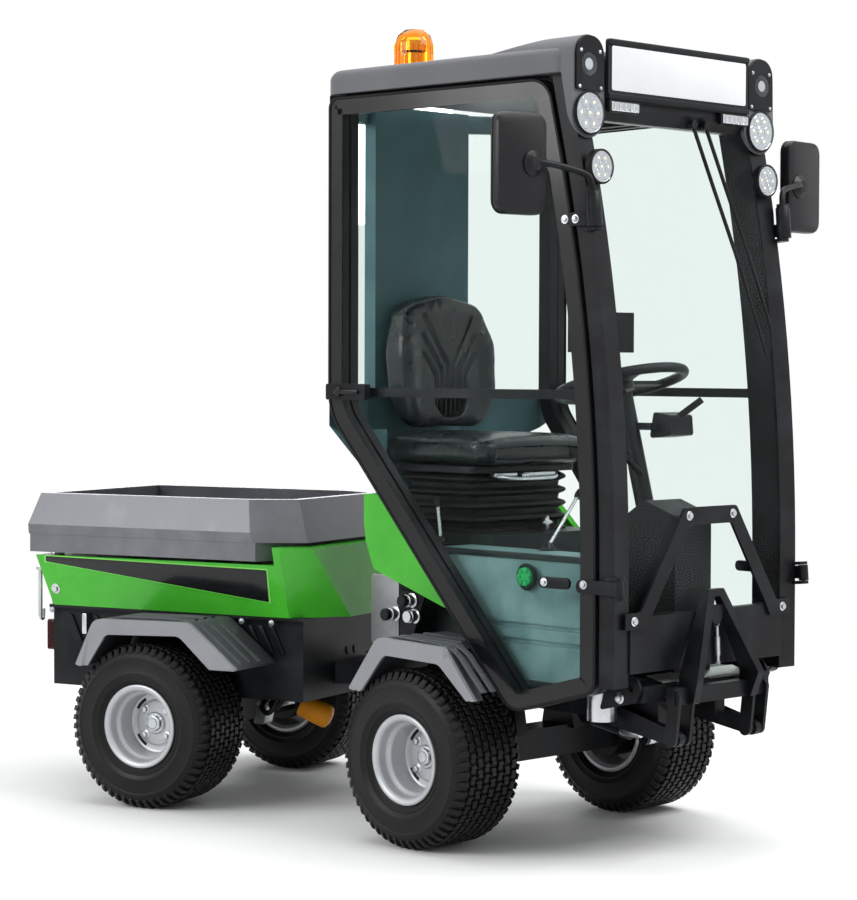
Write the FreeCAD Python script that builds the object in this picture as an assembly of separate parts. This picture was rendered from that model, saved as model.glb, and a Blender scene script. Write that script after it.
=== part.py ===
import FreeCAD
import Part
import math
import os

V = FreeCAD.Vector

# Compact articulated utility vehicle: a cab unit and a load bed unit joined by one upright pin.
# Millimetres. While modelling, X points forward from the front axle, Y to the left, and Z up from
# the floor. The rear unit is modelled straight behind the cab and then turned at the pivot pin.

# Wheels
TYRE_R = 230.0
TYRE_WIDTH = 228.0
TREAD_HALF = 84.0
RIM_SEAT_R = 101.6
RIM_FLANGE_R = 117.0
RIM_HALF = 101.0
RIM_WALL = 4.0
DISC_INSET = 100.0
DISC_THICK = 8.0
HUB_R = 22.0
RUNNING_CLEARANCE = 0.05
HUB_MOTOR_R = 72.0

# Layout
WHEELBASE = 1100.0
AXLE_TO_PIVOT = 578.0
REST_TURN = 18.0
PIVOT_PIN_R = 22.0
MOVING_GAP = 6.0
CLEVIS_PIN_R = 9.0

# Front chassis
RAIL_Y = 110.0
RAIL_WIDTH = 40.0
RAIL_TOP = 433.0
RAIL_HEIGHT = 90.0
RAIL_FRONT_X = 545.0
CHASSIS_HALF = 265.0
TRACK_HALF = CHASSIS_HALF + 124.0
CHASSIS_REAR_X = -361.0
CHASSIS_WALL_TOP_Z = 632.0
BEAM_LOW_Z = 412.0
BEAM_TOP_Z = 452.0
BEAM_HALF = 245.0
FORK_R = 52.0
FORK_PLATE = 20.0
KNUCKLE_LOW_Z = 330.0
KNUCKLE_HEIGHT = 64.0
KNUCKLE_GAP = 8.0

# Cab outline, seen from the side
NOSE_X = 596.0
SCREEN_BEND_Z = 1269.0
SCREEN_LEAN = 12.67
SCREEN_R = 4900.0
CAB_LOW_Z = 455.0
DOOR_REAR_X = -345.0
COVER_REAR_X = -355.0
DOOR_TOP_Z = 1941.0
DOOR_KNEE_Z = 1110.0
DOOR_TOE_X = 279.0
DOOR_TOE_Z = 368.0
DOOR_FRONT_LOW_Z = 441.0
CAB_FRONT_HALF = 360.0
CAB_FLARE = 4.89
CAB_PIN_X = 590.0
PILLAR_DEPTH = 45.0
DOOR_GLASS = 6.0
DOOR_FRAME_THICK = 24.0
DOOR_FRAME_WIDTH = 45.0
SIDE_FRAME_THICK = 28.0
SIDE_FRAME_WIDTH = 48.0
FLOOR_Z = 445.0
FLOOR_THICK = 12.0
PLATFORM_Z = 790.0
PANEL_LOW_Z = 487.0
PANEL_TOP_Z = 625.0
SCREEN_TOP_Z = 1835.0
HEADER_LOW_Z = 1838.0
ROOF_LOW_Z = 1948.0
ROOF_TOP_Z = 2012.0
REAR_WALL_TOP_Z = 1160.0
REAR_WALL_LOW_Z = 962.0
REAR_FOLD_LOW_Z = 1075.0
REAR_X = -492.0
REAR_MIDDLE_HALF = 190.0
REAR_CORNER_HALF = 425.0
WALL_THICK = 22.0

# Door hinges
HINGE_PIN_X = 616.0
HINGE_PIN_Z = 700.0
HINGE_LEAN = 5.0
UPPER_HINGE_Z = 1591.0
HINGE_PIN_R = 6.0
HINGE_BARREL_R = 13.0
HINGE_BARREL_HALF = 20.0
STRAP_HALF = 16.5
SOCKET_R = 19.0
SOCKET_LENGTH = 50.0
STRAP_GAP = 5.5
MIRROR_YAW = 5.0

# Lamps
LAMP_Y = 332.0
SIDE_LAMP_Y = 322.0
SIDE_LAMP_Z = 1719.0
LOW_LAMP_Z = 1850.0
HIGH_LAMP_Z = 1968.0
POD_LOW_R = 60.0
POD_HIGH_R = 57.0
POD_HIGH_Z = 1983.0
POD_REAR_X = 200.0
POD_FRONT_X = 482.0

# Lift linkage of the tool coupler
LIFT_PIVOT_X = 420.0
LIFT_PIVOT_Z = 358.0
LIFT_ARM_LENGTH = 206.0
LIFT_REST_ANGLE = 11.2
LIFT_LEVER = 78.0
LIFT_BASE_X = 195.0
LIFT_BASE_Z = 316.0
LIFT_RANGE = 24.0
COUPLER_X = (612.0, 640.0)
COUPLER_TOP_Z = 680.0

# Ranges of the other joints, in degrees from the parked pose
STEER_RANGE = (-58.0, 22.0)
TIP_RANGE = 45.0
DOOR_RANGE = 80.0

# Rear unit
REAR_CHASSIS_FRONT_X = -701.0
REAR_CHASSIS_REAR_X = -1555.0
REAR_CHASSIS_LOW_Z = 297.0
REAR_CHASSIS_TOP_Z = 530.0
FLANGE_WIDTH = 22.0
SHELL_LOW_Z = 533.0
SHELL_TOP_Z = 681.0
SHELL_LOW_HALF = CHASSIS_HALF + 25.0
SHELL_TOP_HALF = 329.0
SHELL_WALL = 5.0
SHELL_NOSE_TOP_Z = 732.0
BED_FLOOR_Z = 690.0
BED_RIM_Z = 860.0
BED_KNUCKLE_Z = 770.0
BED_RIM_HALF = 297.0
BED_KNUCKLE_HALF = 333.0
BED_REAR_X = -1576.0
BED_FRONT_X = -736.0
BED_WALL = 28.0
BED_HINGE_X = -1592.0
BED_HINGE_Z = 668.0
HINGE_EYE_R = 14.0

# Tow bracket
TOW_PIN_X = -1622.0
TOW_PIN_HOLE_R = 10.0

# Tip cylinder
TIP_BASE_X = -760.0
TIP_BASE_Z = 420.0
TIP_EYE_Z = 662.0
TIP_BARREL_R = 27.0
TIP_BARREL_LENGTH = 400.0
TIP_ROD_R = 15.0
TIP_ROD_SHOWN = 59.0
TIP_EYE_X = TIP_BASE_X - math.sqrt((TIP_BARREL_LENGTH + TIP_ROD_SHOWN) ** 2 - (TIP_EYE_Z - TIP_BASE_Z) ** 2)

# Steering cylinder
STEER_BASE_X = -180.0
STEER_Y = 190.0
STEER_Z = 300.0
STEER_EYE_X = -660.0
STEER_BARREL_R = 22.0
STEER_BARREL_LENGTH = 312.0
STEER_ROD_R = 11.0

PLANES = {
    "xy": (V(1, 0, 0), V(0, 1, 0), V(0, 0, 1)),
    "xz": (V(1, 0, 0), V(0, 0, 1), V(0, 1, 0)),
    "yz": (V(0, 1, 0), V(0, 0, 1), V(1, 0, 0)),
}


def outline(plane, points, radii=0.0, level=0.0):
    """Closed wire through the points with rounded corners, in a plane at a level on its normal."""
    across, up, normal = PLANES[plane]
    count = len(points)
    if not isinstance(radii, (list, tuple)):
        radii = [radii] * count
    corners = [across * a + up * b + normal * level for a, b in points]
    legs = []
    for i in range(count):
        here = corners[i]
        back = (corners[i - 1] - here).normalize()
        ahead = (corners[(i + 1) % count] - here).normalize()
        if radii[i] <= 0:
            legs.append((here, None, here))
            continue
        half = back.getAngle(ahead) / 2
        reach = radii[i] / math.tan(half)
        bisector = (back + ahead).normalize()
        centre = here + bisector * (radii[i] / math.sin(half))
        legs.append((here + back * reach, centre - bisector * radii[i], here + ahead * reach))
    edges = []
    for i in range(count):
        start, middle, end = legs[i]
        if middle is not None:
            edges.append(Part.Arc(start, middle, end).toShape())
        following = legs[(i + 1) % count][0]
        if end.distanceToPoint(following) > 0.001:
            edges.append(Part.LineSegment(end, following).toShape())
    return Part.Wire(edges)


def prism(plane, points, low, high, radii=0.0):
    """Solid between two levels over a rounded outline."""
    normal = PLANES[plane][2]
    return Part.Face(outline(plane, points, radii, low)).extrude(normal * (high - low))


def box(x, y, z):
    """Box from three (low, high) pairs."""
    return Part.makeBox(x[1] - x[0], y[1] - y[0], z[1] - z[0], V(x[0], y[0], z[0]))


def bar(start, end, radius):
    """Round bar between two points."""
    return Part.makeCylinder(radius, start.distanceToPoint(end), start, end - start)


def turned(profile, centre, axis):
    """Solid of revolution: profile holds (radius, height) pairs along the axis."""
    wire = Part.makePolygon([V(r, 0, h) for r, h in profile + profile[:1]])
    solid = Part.Face(wire).revolve(V(0, 0, 0), V(0, 0, 1), 360)
    solid.Placement = FreeCAD.Placement(centre, FreeCAD.Rotation(V(0, 0, 1), axis))
    return solid


def bent_tube(points, bend, radius):
    """Round tube along straight runs joined by tangent arcs of one bend radius."""
    edges = []
    start = points[0]
    for i in range(1, len(points) - 1):
        here = points[i]
        back = (points[i - 1] - here).normalize()
        ahead = (points[i + 1] - here).normalize()
        half = back.getAngle(ahead) / 2
        reach = bend / math.tan(half)
        bisector = (back + ahead).normalize()
        middle = here + bisector * (bend / math.sin(half) - bend)
        edges.append(Part.LineSegment(start, here + back * reach).toShape())
        edges.append(Part.Arc(here + back * reach, middle, here + ahead * reach).toShape())
        start = here + ahead * reach
    edges.append(Part.LineSegment(start, points[-1]).toShape())
    section = Part.Wire(Part.makeCircle(radius, points[0], points[1] - points[0]))
    return Part.Wire(edges).makePipeShell([section], True, True)


def joined(shapes):
    """One shape from several that touch or overlap."""
    return shapes[0].multiFuse(shapes[1:]).removeSplitter()


def mirrored(shape):
    """The same piece on the other side of the vehicle."""
    return shape.mirror(V(0, 0, 0), V(0, 1, 0))


def both_sides(shape):
    return Part.makeCompound([shape, mirrored(shape)])


def on_side(shape):
    """Places a piece modelled in the flat of the right door, with Y 0 on the door's outer face."""
    placed = shape.copy()
    placed.rotate(V(CAB_PIN_X, 0, 0), V(0, 0, 1), CAB_FLARE)
    placed.translate(V(0, -CAB_FRONT_HALF, 0))
    return placed


def side_half(x, depth):
    """Distance from the middle of the cab to a plane at a depth behind the door's outer face."""
    flare = math.radians(CAB_FLARE)
    return CAB_FRONT_HALF + (CAB_PIN_X - x) * math.tan(flare) - depth / math.cos(flare)


def turned_rear(shape):
    """Turns a piece of the rear unit at the pivot pin to the parked angle."""
    placed = shape.copy()
    placed.rotate(V(-AXLE_TO_PIVOT, 0, 0), V(0, 0, 1), REST_TURN)
    return placed


def nose_x(z, depth):
    """X on the leaning upper part of the windscreen line, at a depth behind it."""
    lean = math.radians(SCREEN_LEAN)
    return NOSE_X - (z - SCREEN_BEND_Z) * math.tan(lean) - depth / math.cos(lean)


def bend_point(depth):
    return (NOSE_X - depth, SCREEN_BEND_Z - depth * math.tan(math.radians(SCREEN_LEAN) / 2))


def nose_band(near, far, low, high, y_low, y_high):
    """Upright band that follows the windscreen line between two depths behind it."""
    points = [
        (NOSE_X - near, low),
        bend_point(near),
        (nose_x(high, near), high),
        (nose_x(high, far), high),
        bend_point(far),
        (NOSE_X - far, low),
    ]
    radii = [0, SCREEN_R - near, 0, 0, SCREEN_R - far, 0]
    return prism("xz", points, y_low, y_high, radii)


def tyre():
    """Tyre about the Y axis at the origin, bead to tread, with rounded shoulders."""
    half = TYRE_WIDTH / 2
    shoulder = TYRE_R - 16
    profile = [
        (RIM_SEAT_R, -RIM_HALF + 12.6),
        (RIM_SEAT_R, RIM_HALF - 12.6),
        (RIM_FLANGE_R + 0.6, RIM_HALF - 6.5),
        (RIM_FLANGE_R + 6, RIM_HALF - 2),
        (TYRE_R - 75, half),
        (shoulder - 12, half - 4),
        (shoulder, half - 14),
        (TYRE_R, TREAD_HALF),
        (TYRE_R, -TREAD_HALF),
        (shoulder, -half + 14),
        (shoulder - 12, -half + 4),
        (TYRE_R - 75, -half),
        (RIM_FLANGE_R + 6, -RIM_HALF + 2),
        (RIM_FLANGE_R + 0.6, -RIM_HALF + 6.5),
    ]
    return turned(profile, V(0, 0, 0), V(0, 1, 0))


def rim():
    """Pressed steel rim with a disc set in from its outer flange, outer side towards +Y."""
    outer = RIM_SEAT_R - 0.3
    inner = outer - RIM_WALL
    disc_out = RIM_HALF - DISC_INSET + DISC_THICK
    disc_in = disc_out - DISC_THICK
    barrel = turned([
        (outer, -RIM_HALF + 12), (outer, RIM_HALF - 12), (RIM_FLANGE_R, RIM_HALF - 6),
        (RIM_FLANGE_R, RIM_HALF - 2), (inner + 6, RIM_HALF - 6), (inner, RIM_HALF - 14),
        (inner - 8, RIM_HALF - 40), (inner - 8, RIM_HALF - 62), (inner, RIM_HALF - 74),
        (inner, -RIM_HALF + 14), (inner + 6, -RIM_HALF + 6), (RIM_FLANGE_R, -RIM_HALF + 2),
        (RIM_FLANGE_R, -RIM_HALF + 6),
    ], V(0, 0, 0), V(0, 1, 0))
    bore = HUB_R + RUNNING_CLEARANCE
    disc = turned([
        (bore, disc_in), (inner + 1, disc_in), (inner + 1, disc_out), (72, disc_out), (64, disc_out + 5),
        (bore, disc_out + 5),
    ], V(0, 0, 0), V(0, 1, 0))
    cap_end = disc_out + 24
    cap = turned([
        (HUB_R + 6, disc_out + 4), (HUB_R + 6, cap_end - 5), (HUB_R, cap_end), (0.01, cap_end),
        (0.01, cap_end - 4), (bore, cap_end - 4), (bore, disc_out + 4),
    ], V(0, 0, 0), V(0, 1, 0))
    nuts = []
    for i in range(4):
        angle = math.radians(45 + 90 * i)
        foot = V(50.8 * math.cos(angle), disc_out + 4, 50.8 * math.sin(angle))
        nuts.append(bar(foot, foot + V(0, 14, 0), 9))
    return joined([barrel, disc, cap] + nuts)


def wheel_pieces():
    """Tyre and rim for each corner, placed; the rear pair turns with the rear unit."""
    pieces = {}
    for name, x, side in (("front_left", 0, 1), ("front_right", 0, -1),
                          ("rear_left", -WHEELBASE, 1), ("rear_right", -WHEELBASE, -1)):
        for part, shape in (("tyre", tyre()), ("rim", rim())):
            if side < 0:
                shape = mirrored(shape)
            shape.translate(V(x, side * TRACK_HALF, TYRE_R))
            if x < 0:
                shape = turned_rear(shape)
            pieces[part + "_" + name] = shape
    return pieces


def axle(top_z, tower_half):
    """Beam across the vehicle with a hub motor and stub shaft at each end, at X 0."""
    disc_in = RIM_HALF - DISC_INSET
    motor_end = TRACK_HALF + disc_in - MOVING_GAP
    beam_half = CHASSIS_HALF + 25
    pieces = [box((-45, 45), (-beam_half, beam_half), (TYRE_R - 40, TYRE_R + 40))]
    for side in (-1, 1):
        start = V(0, side * (CHASSIS_HALF + 2), TYRE_R)
        pieces.append(bar(start, V(0, side * motor_end, TYRE_R), HUB_MOTOR_R))
        pieces.append(bar(start, V(0, side * (TRACK_HALF + disc_in + DISC_THICK + 14), TYRE_R), HUB_R))
        tower = prism("xz", [(-60, TYRE_R + 30), (60, TYRE_R + 30), (45, top_z), (-45, top_z)],
                      side * tower_half - 20, side * tower_half + 20)
        pieces.append(tower)
    return joined(pieces)


def front_chassis():
    """Two rails, cross members, the rear box plates, and the fork that holds the pivot pin."""
    low = RAIL_TOP - RAIL_HEIGHT
    pieces = []
    for side in (-1, 1):
        y = side * RAIL_Y
        pieces.append(box((CHASSIS_REAR_X, RAIL_FRONT_X), (y - RAIL_WIDTH / 2, y + RAIL_WIDTH / 2), (low, RAIL_TOP)))
        wall = sorted((side * CHASSIS_HALF, side * (CHASSIS_HALF - 8)))
        pieces.append(prism("xz", [
            (CHASSIS_REAR_X, low), (-236, low), (-236, 400), (-196, 520), (-150, CHASSIS_WALL_TOP_Z),
            (CHASSIS_REAR_X, CHASSIS_WALL_TOP_Z),
        ], wall[0], wall[1]))
    half = CHASSIS_HALF
    pieces.append(box((CHASSIS_REAR_X, CHASSIS_REAR_X + 8), (-half, half), (low, 575)))
    pieces.append(box((-236, -206), (-half, half), (low, RAIL_TOP)))
    pieces.append(box((150, 190), (-RAIL_Y, RAIL_Y), (low, RAIL_TOP)))
    pieces.append(box((RAIL_FRONT_X - 30, RAIL_FRONT_X), (-RAIL_Y, RAIL_Y), (low + 40, RAIL_TOP)))
    pieces.append(box((-360, -200), (-half, half), (RAIL_TOP - 6, RAIL_TOP)))
    fork_low = KNUCKLE_LOW_Z - KNUCKLE_GAP - FORK_PLATE
    fork_high = KNUCKLE_LOW_Z + KNUCKLE_HEIGHT + KNUCKLE_GAP
    for z in (fork_low, fork_high):
        pieces.append(prism("xy", [
            (CHASSIS_REAR_X + 4, -130), (CHASSIS_REAR_X + 4, 130),
            (-AXLE_TO_PIVOT - FORK_R, FORK_R), (-AXLE_TO_PIVOT - FORK_R, -FORK_R),
        ], z, z + FORK_PLATE, [0, 0, FORK_R - 4, FORK_R - 4]))
    pieces.append(box((CHASSIS_REAR_X - 22, CHASSIS_REAR_X + 4), (-130, 130), (fork_low, fork_high + FORK_PLATE)))
    for side in (-1, 1):
        low_y, high_y = sorted((side * (RAIL_Y - RAIL_WIDTH / 2), side * (RAIL_Y + RAIL_WIDTH / 2)))
        boss_top = V(LIFT_PIVOT_X, 0, RAIL_TOP - 40)
        pieces.append(capsule_xz(boss_top, 38, V(LIFT_PIVOT_X, 0, LIFT_PIVOT_Z), 32, low_y, high_y))
        arm_low, arm_high = sorted((side * RAIL_Y, side * (CHASSIS_HALF + 2)))
        pieces.append(box((-15, 15), (arm_low, arm_high), (RAIL_TOP - 12, RAIL_TOP)))
        stem_low, stem_high = sorted((side * (CHASSIS_HALF - 6), side * (CHASSIS_HALF + 2)))
        pieces.append(box((-15, 15), (stem_low, stem_high), (RAIL_TOP - 12, 518)))
    solid = joined(pieces)
    bore = bar(V(-AXLE_TO_PIVOT, 0, fork_low - 10), V(-AXLE_TO_PIVOT, 0, fork_high + 40),
               PIVOT_PIN_R + RUNNING_CLEARANCE)
    shaft = bar(V(LIFT_PIVOT_X, -200, LIFT_PIVOT_Z), V(LIFT_PIVOT_X, 200, LIFT_PIVOT_Z), 18 + RUNNING_CLEARANCE)
    return solid.cut(bore).cut(shaft)


def front_beam():
    """Cross beam below the dash panel, arched over the lift arms, with a holed plate at each end."""
    rear = NOSE_X - 35.7
    beam = box((rear, NOSE_X), (-BEAM_HALF, BEAM_HALF), (BEAM_LOW_Z, BEAM_TOP_Z))
    plate = prism("xz", [
        (458, 383), (579, BEAM_LOW_Z), (595, 446), (575, 478), (534, 478), (519, 524), (509, 524),
    ], -BEAM_HALF - 8, -BEAM_HALF, [6, 6, 6, 6, 0, 3, 3])
    plate = plate.cut(bar(V(562, -BEAM_HALF - 20, 445), V(562, -BEAM_HALF + 20, 445), 8))
    pieces = [beam, plate, mirrored(plate)]
    for side in (-1, 1):
        low, high = sorted((side * (RAIL_Y - RAIL_WIDTH / 2), side * (RAIL_Y + RAIL_WIDTH / 2)))
        pieces.append(box((RAIL_FRONT_X - 5, rear + 2), (low, high), (RAIL_TOP - 33, RAIL_TOP - 0.3)))
    solid = joined(pieces)
    arch = box((rear - 1, NOSE_X + 1), (132, 168), (BEAM_LOW_Z - 1, BEAM_LOW_Z + 12))
    return solid.cut(arch).cut(mirrored(arch))


def cab_floor():
    """Floor plate between the side frames."""
    front = NOSE_X - 36
    depth = 36 + SIDE_FRAME_THICK
    left = [
        (front, BEAM_HALF - 0.3), (476, BEAM_HALF - 0.3), (456, side_half(456, depth)), (240, side_half(240, depth)),
        (190, 250), (30, 250),
    ]
    right = [(x, -y) for x, y in reversed(left)]
    return prism("xy", left + right, FLOOR_Z - FLOOR_THICK, FLOOR_Z)


def seat_platform():
    """Sheet metal housing that carries the seat, open underneath."""
    outer = box((-340, 30), (-190, 250), (RAIL_TOP, PLATFORM_Z))
    inner = box((-335, 25), (-185, 245), (RAIL_TOP - 1, PLATFORM_Z - 5))
    return outer.cut(inner)


def tank():
    """Moulded tank along the right door, with two pressed grooves and a filler neck."""
    outer_y = -304.0
    inner_y = -200.0
    body = prism("xz", [
        (-90, 765), (480, 765), (480, FLOOR_Z), (225, FLOOR_Z),
    ], outer_y, inner_y, [20, 25, 12, 12])
    for z in (585, 545):
        body = body.cut(box((60, 500), (outer_y - 1, outer_y + 8), (z - 10, z + 2)))
    neck = bar(V(270, outer_y + 2, 706), V(270, outer_y - 12, 706), 30)
    return body.fuse(neck)


def step_box():
    """Low moulded box on the left, in line with the tank."""
    return prism("xz", [(90, 600), (330, 600), (330, FLOOR_Z), (225, FLOOR_Z)], 200, 304, [15, 15, 8, 8])


def front_panel():
    """Dash panel below the windscreen, between the pillars."""
    half = side_half(NOSE_X, 36 + SIDE_FRAME_THICK)
    return box((NOSE_X - 30, NOSE_X), (-half, half), (PANEL_LOW_Z, PANEL_TOP_Z))


def windscreen():
    """Curved pane between the pillars."""
    half = side_half(NOSE_X, 36)
    right = pillar()
    return nose_band(6, 12, PANEL_TOP_Z, SCREEN_TOP_Z, -half, half).cut(right).cut(mirrored(right))


def screen_guard():
    """Guard of flat bar over the lower windscreen: a bar across the top and two slanted legs with feet."""
    half = prism("yz", [
        (0, 886), (100, 886), (266, 636), (322, 636), (322, 596), (240, 596), (222, 629), (82, 842), (0, 842),
    ], NOSE_X, NOSE_X + 8, [0, 14, 12, 4, 4, 8, 8, 12, 0])
    return joined([half, mirrored(half)])


def pillar():
    """Right windscreen pillar, bent to the windscreen line."""
    outer = nose_band(0, PILLAR_DEPTH, CAB_LOW_Z, ROOF_LOW_Z, STRAP_GAP, 36 + SIDE_FRAME_THICK)
    inner = nose_band(PILLAR_DEPTH - 1, PILLAR_DEPTH + MOVING_GAP, CAB_LOW_Z, ROOF_LOW_Z, 36, 36 + SIDE_FRAME_THICK)
    return on_side(joined([outer, inner]))


def screen_x(z, depth):
    """X on the curved windscreen line at a depth behind it."""
    centre_z = SCREEN_BEND_Z - SCREEN_R * math.tan(math.radians(SCREEN_LEAN) / 2)
    if z < centre_z:
        return NOSE_X - depth
    if z > centre_z + (SCREEN_R - depth) * math.sin(math.radians(SCREEN_LEAN)):
        return nose_x(z, depth)
    return NOSE_X - SCREEN_R + math.sqrt((SCREEN_R - depth) ** 2 - (z - centre_z) ** 2)


def door_points(top):
    """Corners of the door's outline in its own flat, and the radius of each."""
    near = PILLAR_DEPTH + MOVING_GAP
    bend = bend_point(near)
    points = [
        (DOOR_REAR_X, top),
        (DOOR_REAR_X, DOOR_KNEE_Z),
        (DOOR_TOE_X, DOOR_TOE_Z),
        (NOSE_X - near, DOOR_FRONT_LOW_Z),
        bend,
        (nose_x(top, near), top),
    ]
    return points, [30, 160, 60, 40, SCREEN_R - near, 70]


def ring(points, radii, width, low, high):
    """Flat ring that follows a rounded outline inwards by a width."""
    outer = outline("xz", points, radii, low)
    inner = outer.makeOffset2D(-width)
    solid = Part.Face(outer).extrude(V(0, high - low, 0))
    return solid.cut(Part.Face(inner).extrude(V(0, high - low, 0)))


def side_frame():
    """Bent frame behind the right door, on which the door closes."""
    points, radii = door_points(ROOF_LOW_Z)
    shape = ring(points, radii, SIDE_FRAME_WIDTH, 36, 36 + SIDE_FRAME_THICK)
    return on_side(shape)


def door_frame():
    points, radii = door_points(DOOR_TOP_Z)
    shape = ring(points, radii, DOOR_FRAME_WIDTH, DOOR_GLASS, DOOR_GLASS + DOOR_FRAME_THICK)
    return on_side(shape)


def door_glass():
    points, radii = door_points(DOOR_TOP_Z)
    return on_side(prism("xz", points, 0, DOOR_GLASS, radii))


def hinge_axis():
    """Centre of the right door's lower hinge and the upward direction of its pin."""
    point = V(HINGE_PIN_X, 0, HINGE_PIN_Z)
    lean = math.radians(HINGE_LEAN)
    direction = V(-math.sin(lean), 0, math.cos(lean))
    turn = FreeCAD.Rotation(V(0, 0, 1), CAB_FLARE)
    about = V(CAB_PIN_X, 0, 0)
    placed = about + turn.multVec(point - about) + V(0, -CAB_FRONT_HALF - 4, 0)
    return placed, turn.multVec(direction)


def hinge_centres():
    """Lower and upper hinge of the right door, and the direction of their common pin line."""
    low, direction = hinge_axis()
    rise = (UPPER_HINGE_Z - HINGE_PIN_Z) / direction.z
    return (low, low + direction * rise), direction


def along_hinge(shape, centre, direction):
    """Places a piece modelled round an upright pin onto the leaning hinge line."""
    placed = shape.copy()
    placed.Placement = FreeCAD.Placement(centre, FreeCAD.Rotation(V(0, 0, 1), direction))
    return placed


def hinge_ears():
    """Ears and pins on the right pillar that carry the door."""
    centres, direction = hinge_centres()
    pieces = []
    for centre, levels in zip(centres, ((-HINGE_BARREL_HALF - 9, HINGE_BARREL_HALF + 1), (-HINGE_BARREL_HALF - 9,))):
        ears = [Part.makeCylinder(HINGE_PIN_R, 2 * HINGE_BARREL_HALF + 8, V(0, 0, -HINGE_BARREL_HALF - 9))]
        for low in levels:
            ears.append(prism("xy", [(-30, -11), (11, -11), (11, 18), (-30, 18)], low, low + 8, [0, 9, 9, 0]))
        pieces.append(along_hinge(joined(ears), centre, direction))
    return pieces


def hinge_recess():
    """Room in the right pillar for the upper hinge barrel and the mirror socket above it."""
    centre, direction = hinge_centres()[0][1], hinge_centres()[1]
    recess = Part.makeCylinder(SOCKET_R + MOVING_GAP, 2 * HINGE_BARREL_HALF + SOCKET_LENGTH + MOVING_GAP,
                               V(0, 0, -HINGE_BARREL_HALF))
    return along_hinge(recess, centre, direction)


def door_fittings():
    """Hinge straps and handle box on the outside of the right door."""
    centres, direction = hinge_centres()
    pieces = []
    for centre, radius, length in zip(centres, (HINGE_BARREL_R, SOCKET_R), (125.0, 78.0)):
        barrel = Part.makeCylinder(radius, 2 * HINGE_BARREL_HALF, V(0, 0, -HINGE_BARREL_HALF))
        barrel = along_hinge(barrel, centre, direction)
        strap = prism("xz", [
            (centre.x - length, centre.z - STRAP_HALF), (centre.x, centre.z - STRAP_HALF),
            (centre.x, centre.z + STRAP_HALF), (centre.x - length, centre.z + STRAP_HALF),
        ], -10, 0, [15, 0, 0, 15])
        bore = Part.makeCylinder(HINGE_PIN_R + RUNNING_CLEARANCE, 4 * HINGE_BARREL_HALF, V(0, 0, -2 * HINGE_BARREL_HALF))
        pieces.append(joined([barrel, on_side(strap)]).cut(along_hinge(bore, centre, direction)))
    handle = prism("xz", [
        (DOOR_REAR_X + 12, 1145), (DOOR_REAR_X + 150, 1145), (DOOR_REAR_X + 150, 1187), (DOOR_REAR_X + 12, 1187),
    ], -24, 0, 6)
    pieces.append(on_side(handle))
    return Part.makeCompound(pieces)


def door_bar():
    """Pull bar across the inside of the right door."""
    inner = DOOR_GLASS + DOOR_FRAME_THICK
    front = NOSE_X - PILLAR_DEPTH - MOVING_GAP - DOOR_FRAME_WIDTH
    return on_side(box((DOOR_REAR_X + 10, front), (inner - 14, inner), (1153, 1177)))


def roof():
    """Moulded roof with a lamp pod at each front corner."""
    rear = -372.0
    front = 462.0
    points = [
        (rear, side_half(rear, -10)), (front, side_half(front, -22)),
        (front, -side_half(front, -22)), (rear, -side_half(rear, -10)),
    ]
    slab = prism("xy", points, ROOF_LOW_Z, ROOF_TOP_Z, [70, 40, 40, 70])
    upper = [e for e in slab.Edges if min(v.Z for v in e.Vertexes) > ROOF_TOP_Z - 1]
    slab = slab.makeFillet(28, upper)
    pod = lamp_pod()
    return joined([slab, pod, mirrored(pod)])


def capsule(low, low_r, high, high_r, x0, x1):
    """Solid along X over the outline round two upright circles of different size."""
    rise = high - low
    tilt = math.asin((high_r - low_r) / rise)
    cos_t, sin_t = math.cos(tilt), math.sin(tilt)
    y = -LAMP_Y
    left_low = V(x0, y - low_r * cos_t, low - low_r * sin_t)
    right_low = V(x0, y + low_r * cos_t, low - low_r * sin_t)
    left_high = V(x0, y - high_r * cos_t, high - high_r * sin_t)
    right_high = V(x0, y + high_r * cos_t, high - high_r * sin_t)
    wire = Part.Wire([
        Part.Arc(right_low, V(x0, y, low - low_r), left_low).toShape(),
        Part.LineSegment(left_low, left_high).toShape(),
        Part.Arc(left_high, V(x0, y, high + high_r), right_high).toShape(),
        Part.LineSegment(right_high, right_low).toShape(),
    ])
    return Part.Face(wire).extrude(V(x1 - x0, 0, 0))


def lamp_pod():
    """Right lamp pod: ramps back into the roof above and ends at the pillar below."""
    pod = capsule(LOW_LAMP_Z, POD_LOW_R, POD_HIGH_Z, POD_HIGH_R, POD_REAR_X, POD_FRONT_X)
    sides = (-LAMP_Y - 90, -LAMP_Y + 90)
    behind = prism("xz", [
        (POD_REAR_X - 10, ROOF_LOW_Z), (nose_x(ROOF_LOW_Z, -2), ROOF_LOW_Z), (nose_x(1750, -2), 1750),
        (POD_REAR_X - 10, 1750),
    ], sides[0], sides[1])
    above = prism("xz", [
        (POD_REAR_X - 50, ROOF_TOP_Z - 7), (400, ROOF_TOP_Z + 33), (400, 2100), (POD_REAR_X - 50, 2100),
    ], sides[0], sides[1])
    return pod.cut(behind).cut(above)


def roof_header():
    """Beam between the pods, above the windscreen, that carries the strobes and the plate."""
    half = LAMP_Y - POD_LOW_R - 0.5
    return prism("xz", [
        (nose_x(HEADER_LOW_Z, 40), HEADER_LOW_Z), (nose_x(HEADER_LOW_Z, 2), HEADER_LOW_Z),
        (POD_FRONT_X + 2, 1870), (POD_FRONT_X + 2, ROOF_LOW_Z - 0.3), (nose_x(ROOF_LOW_Z, 40), ROOF_LOW_Z - 0.3),
    ], -half, half)


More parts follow.
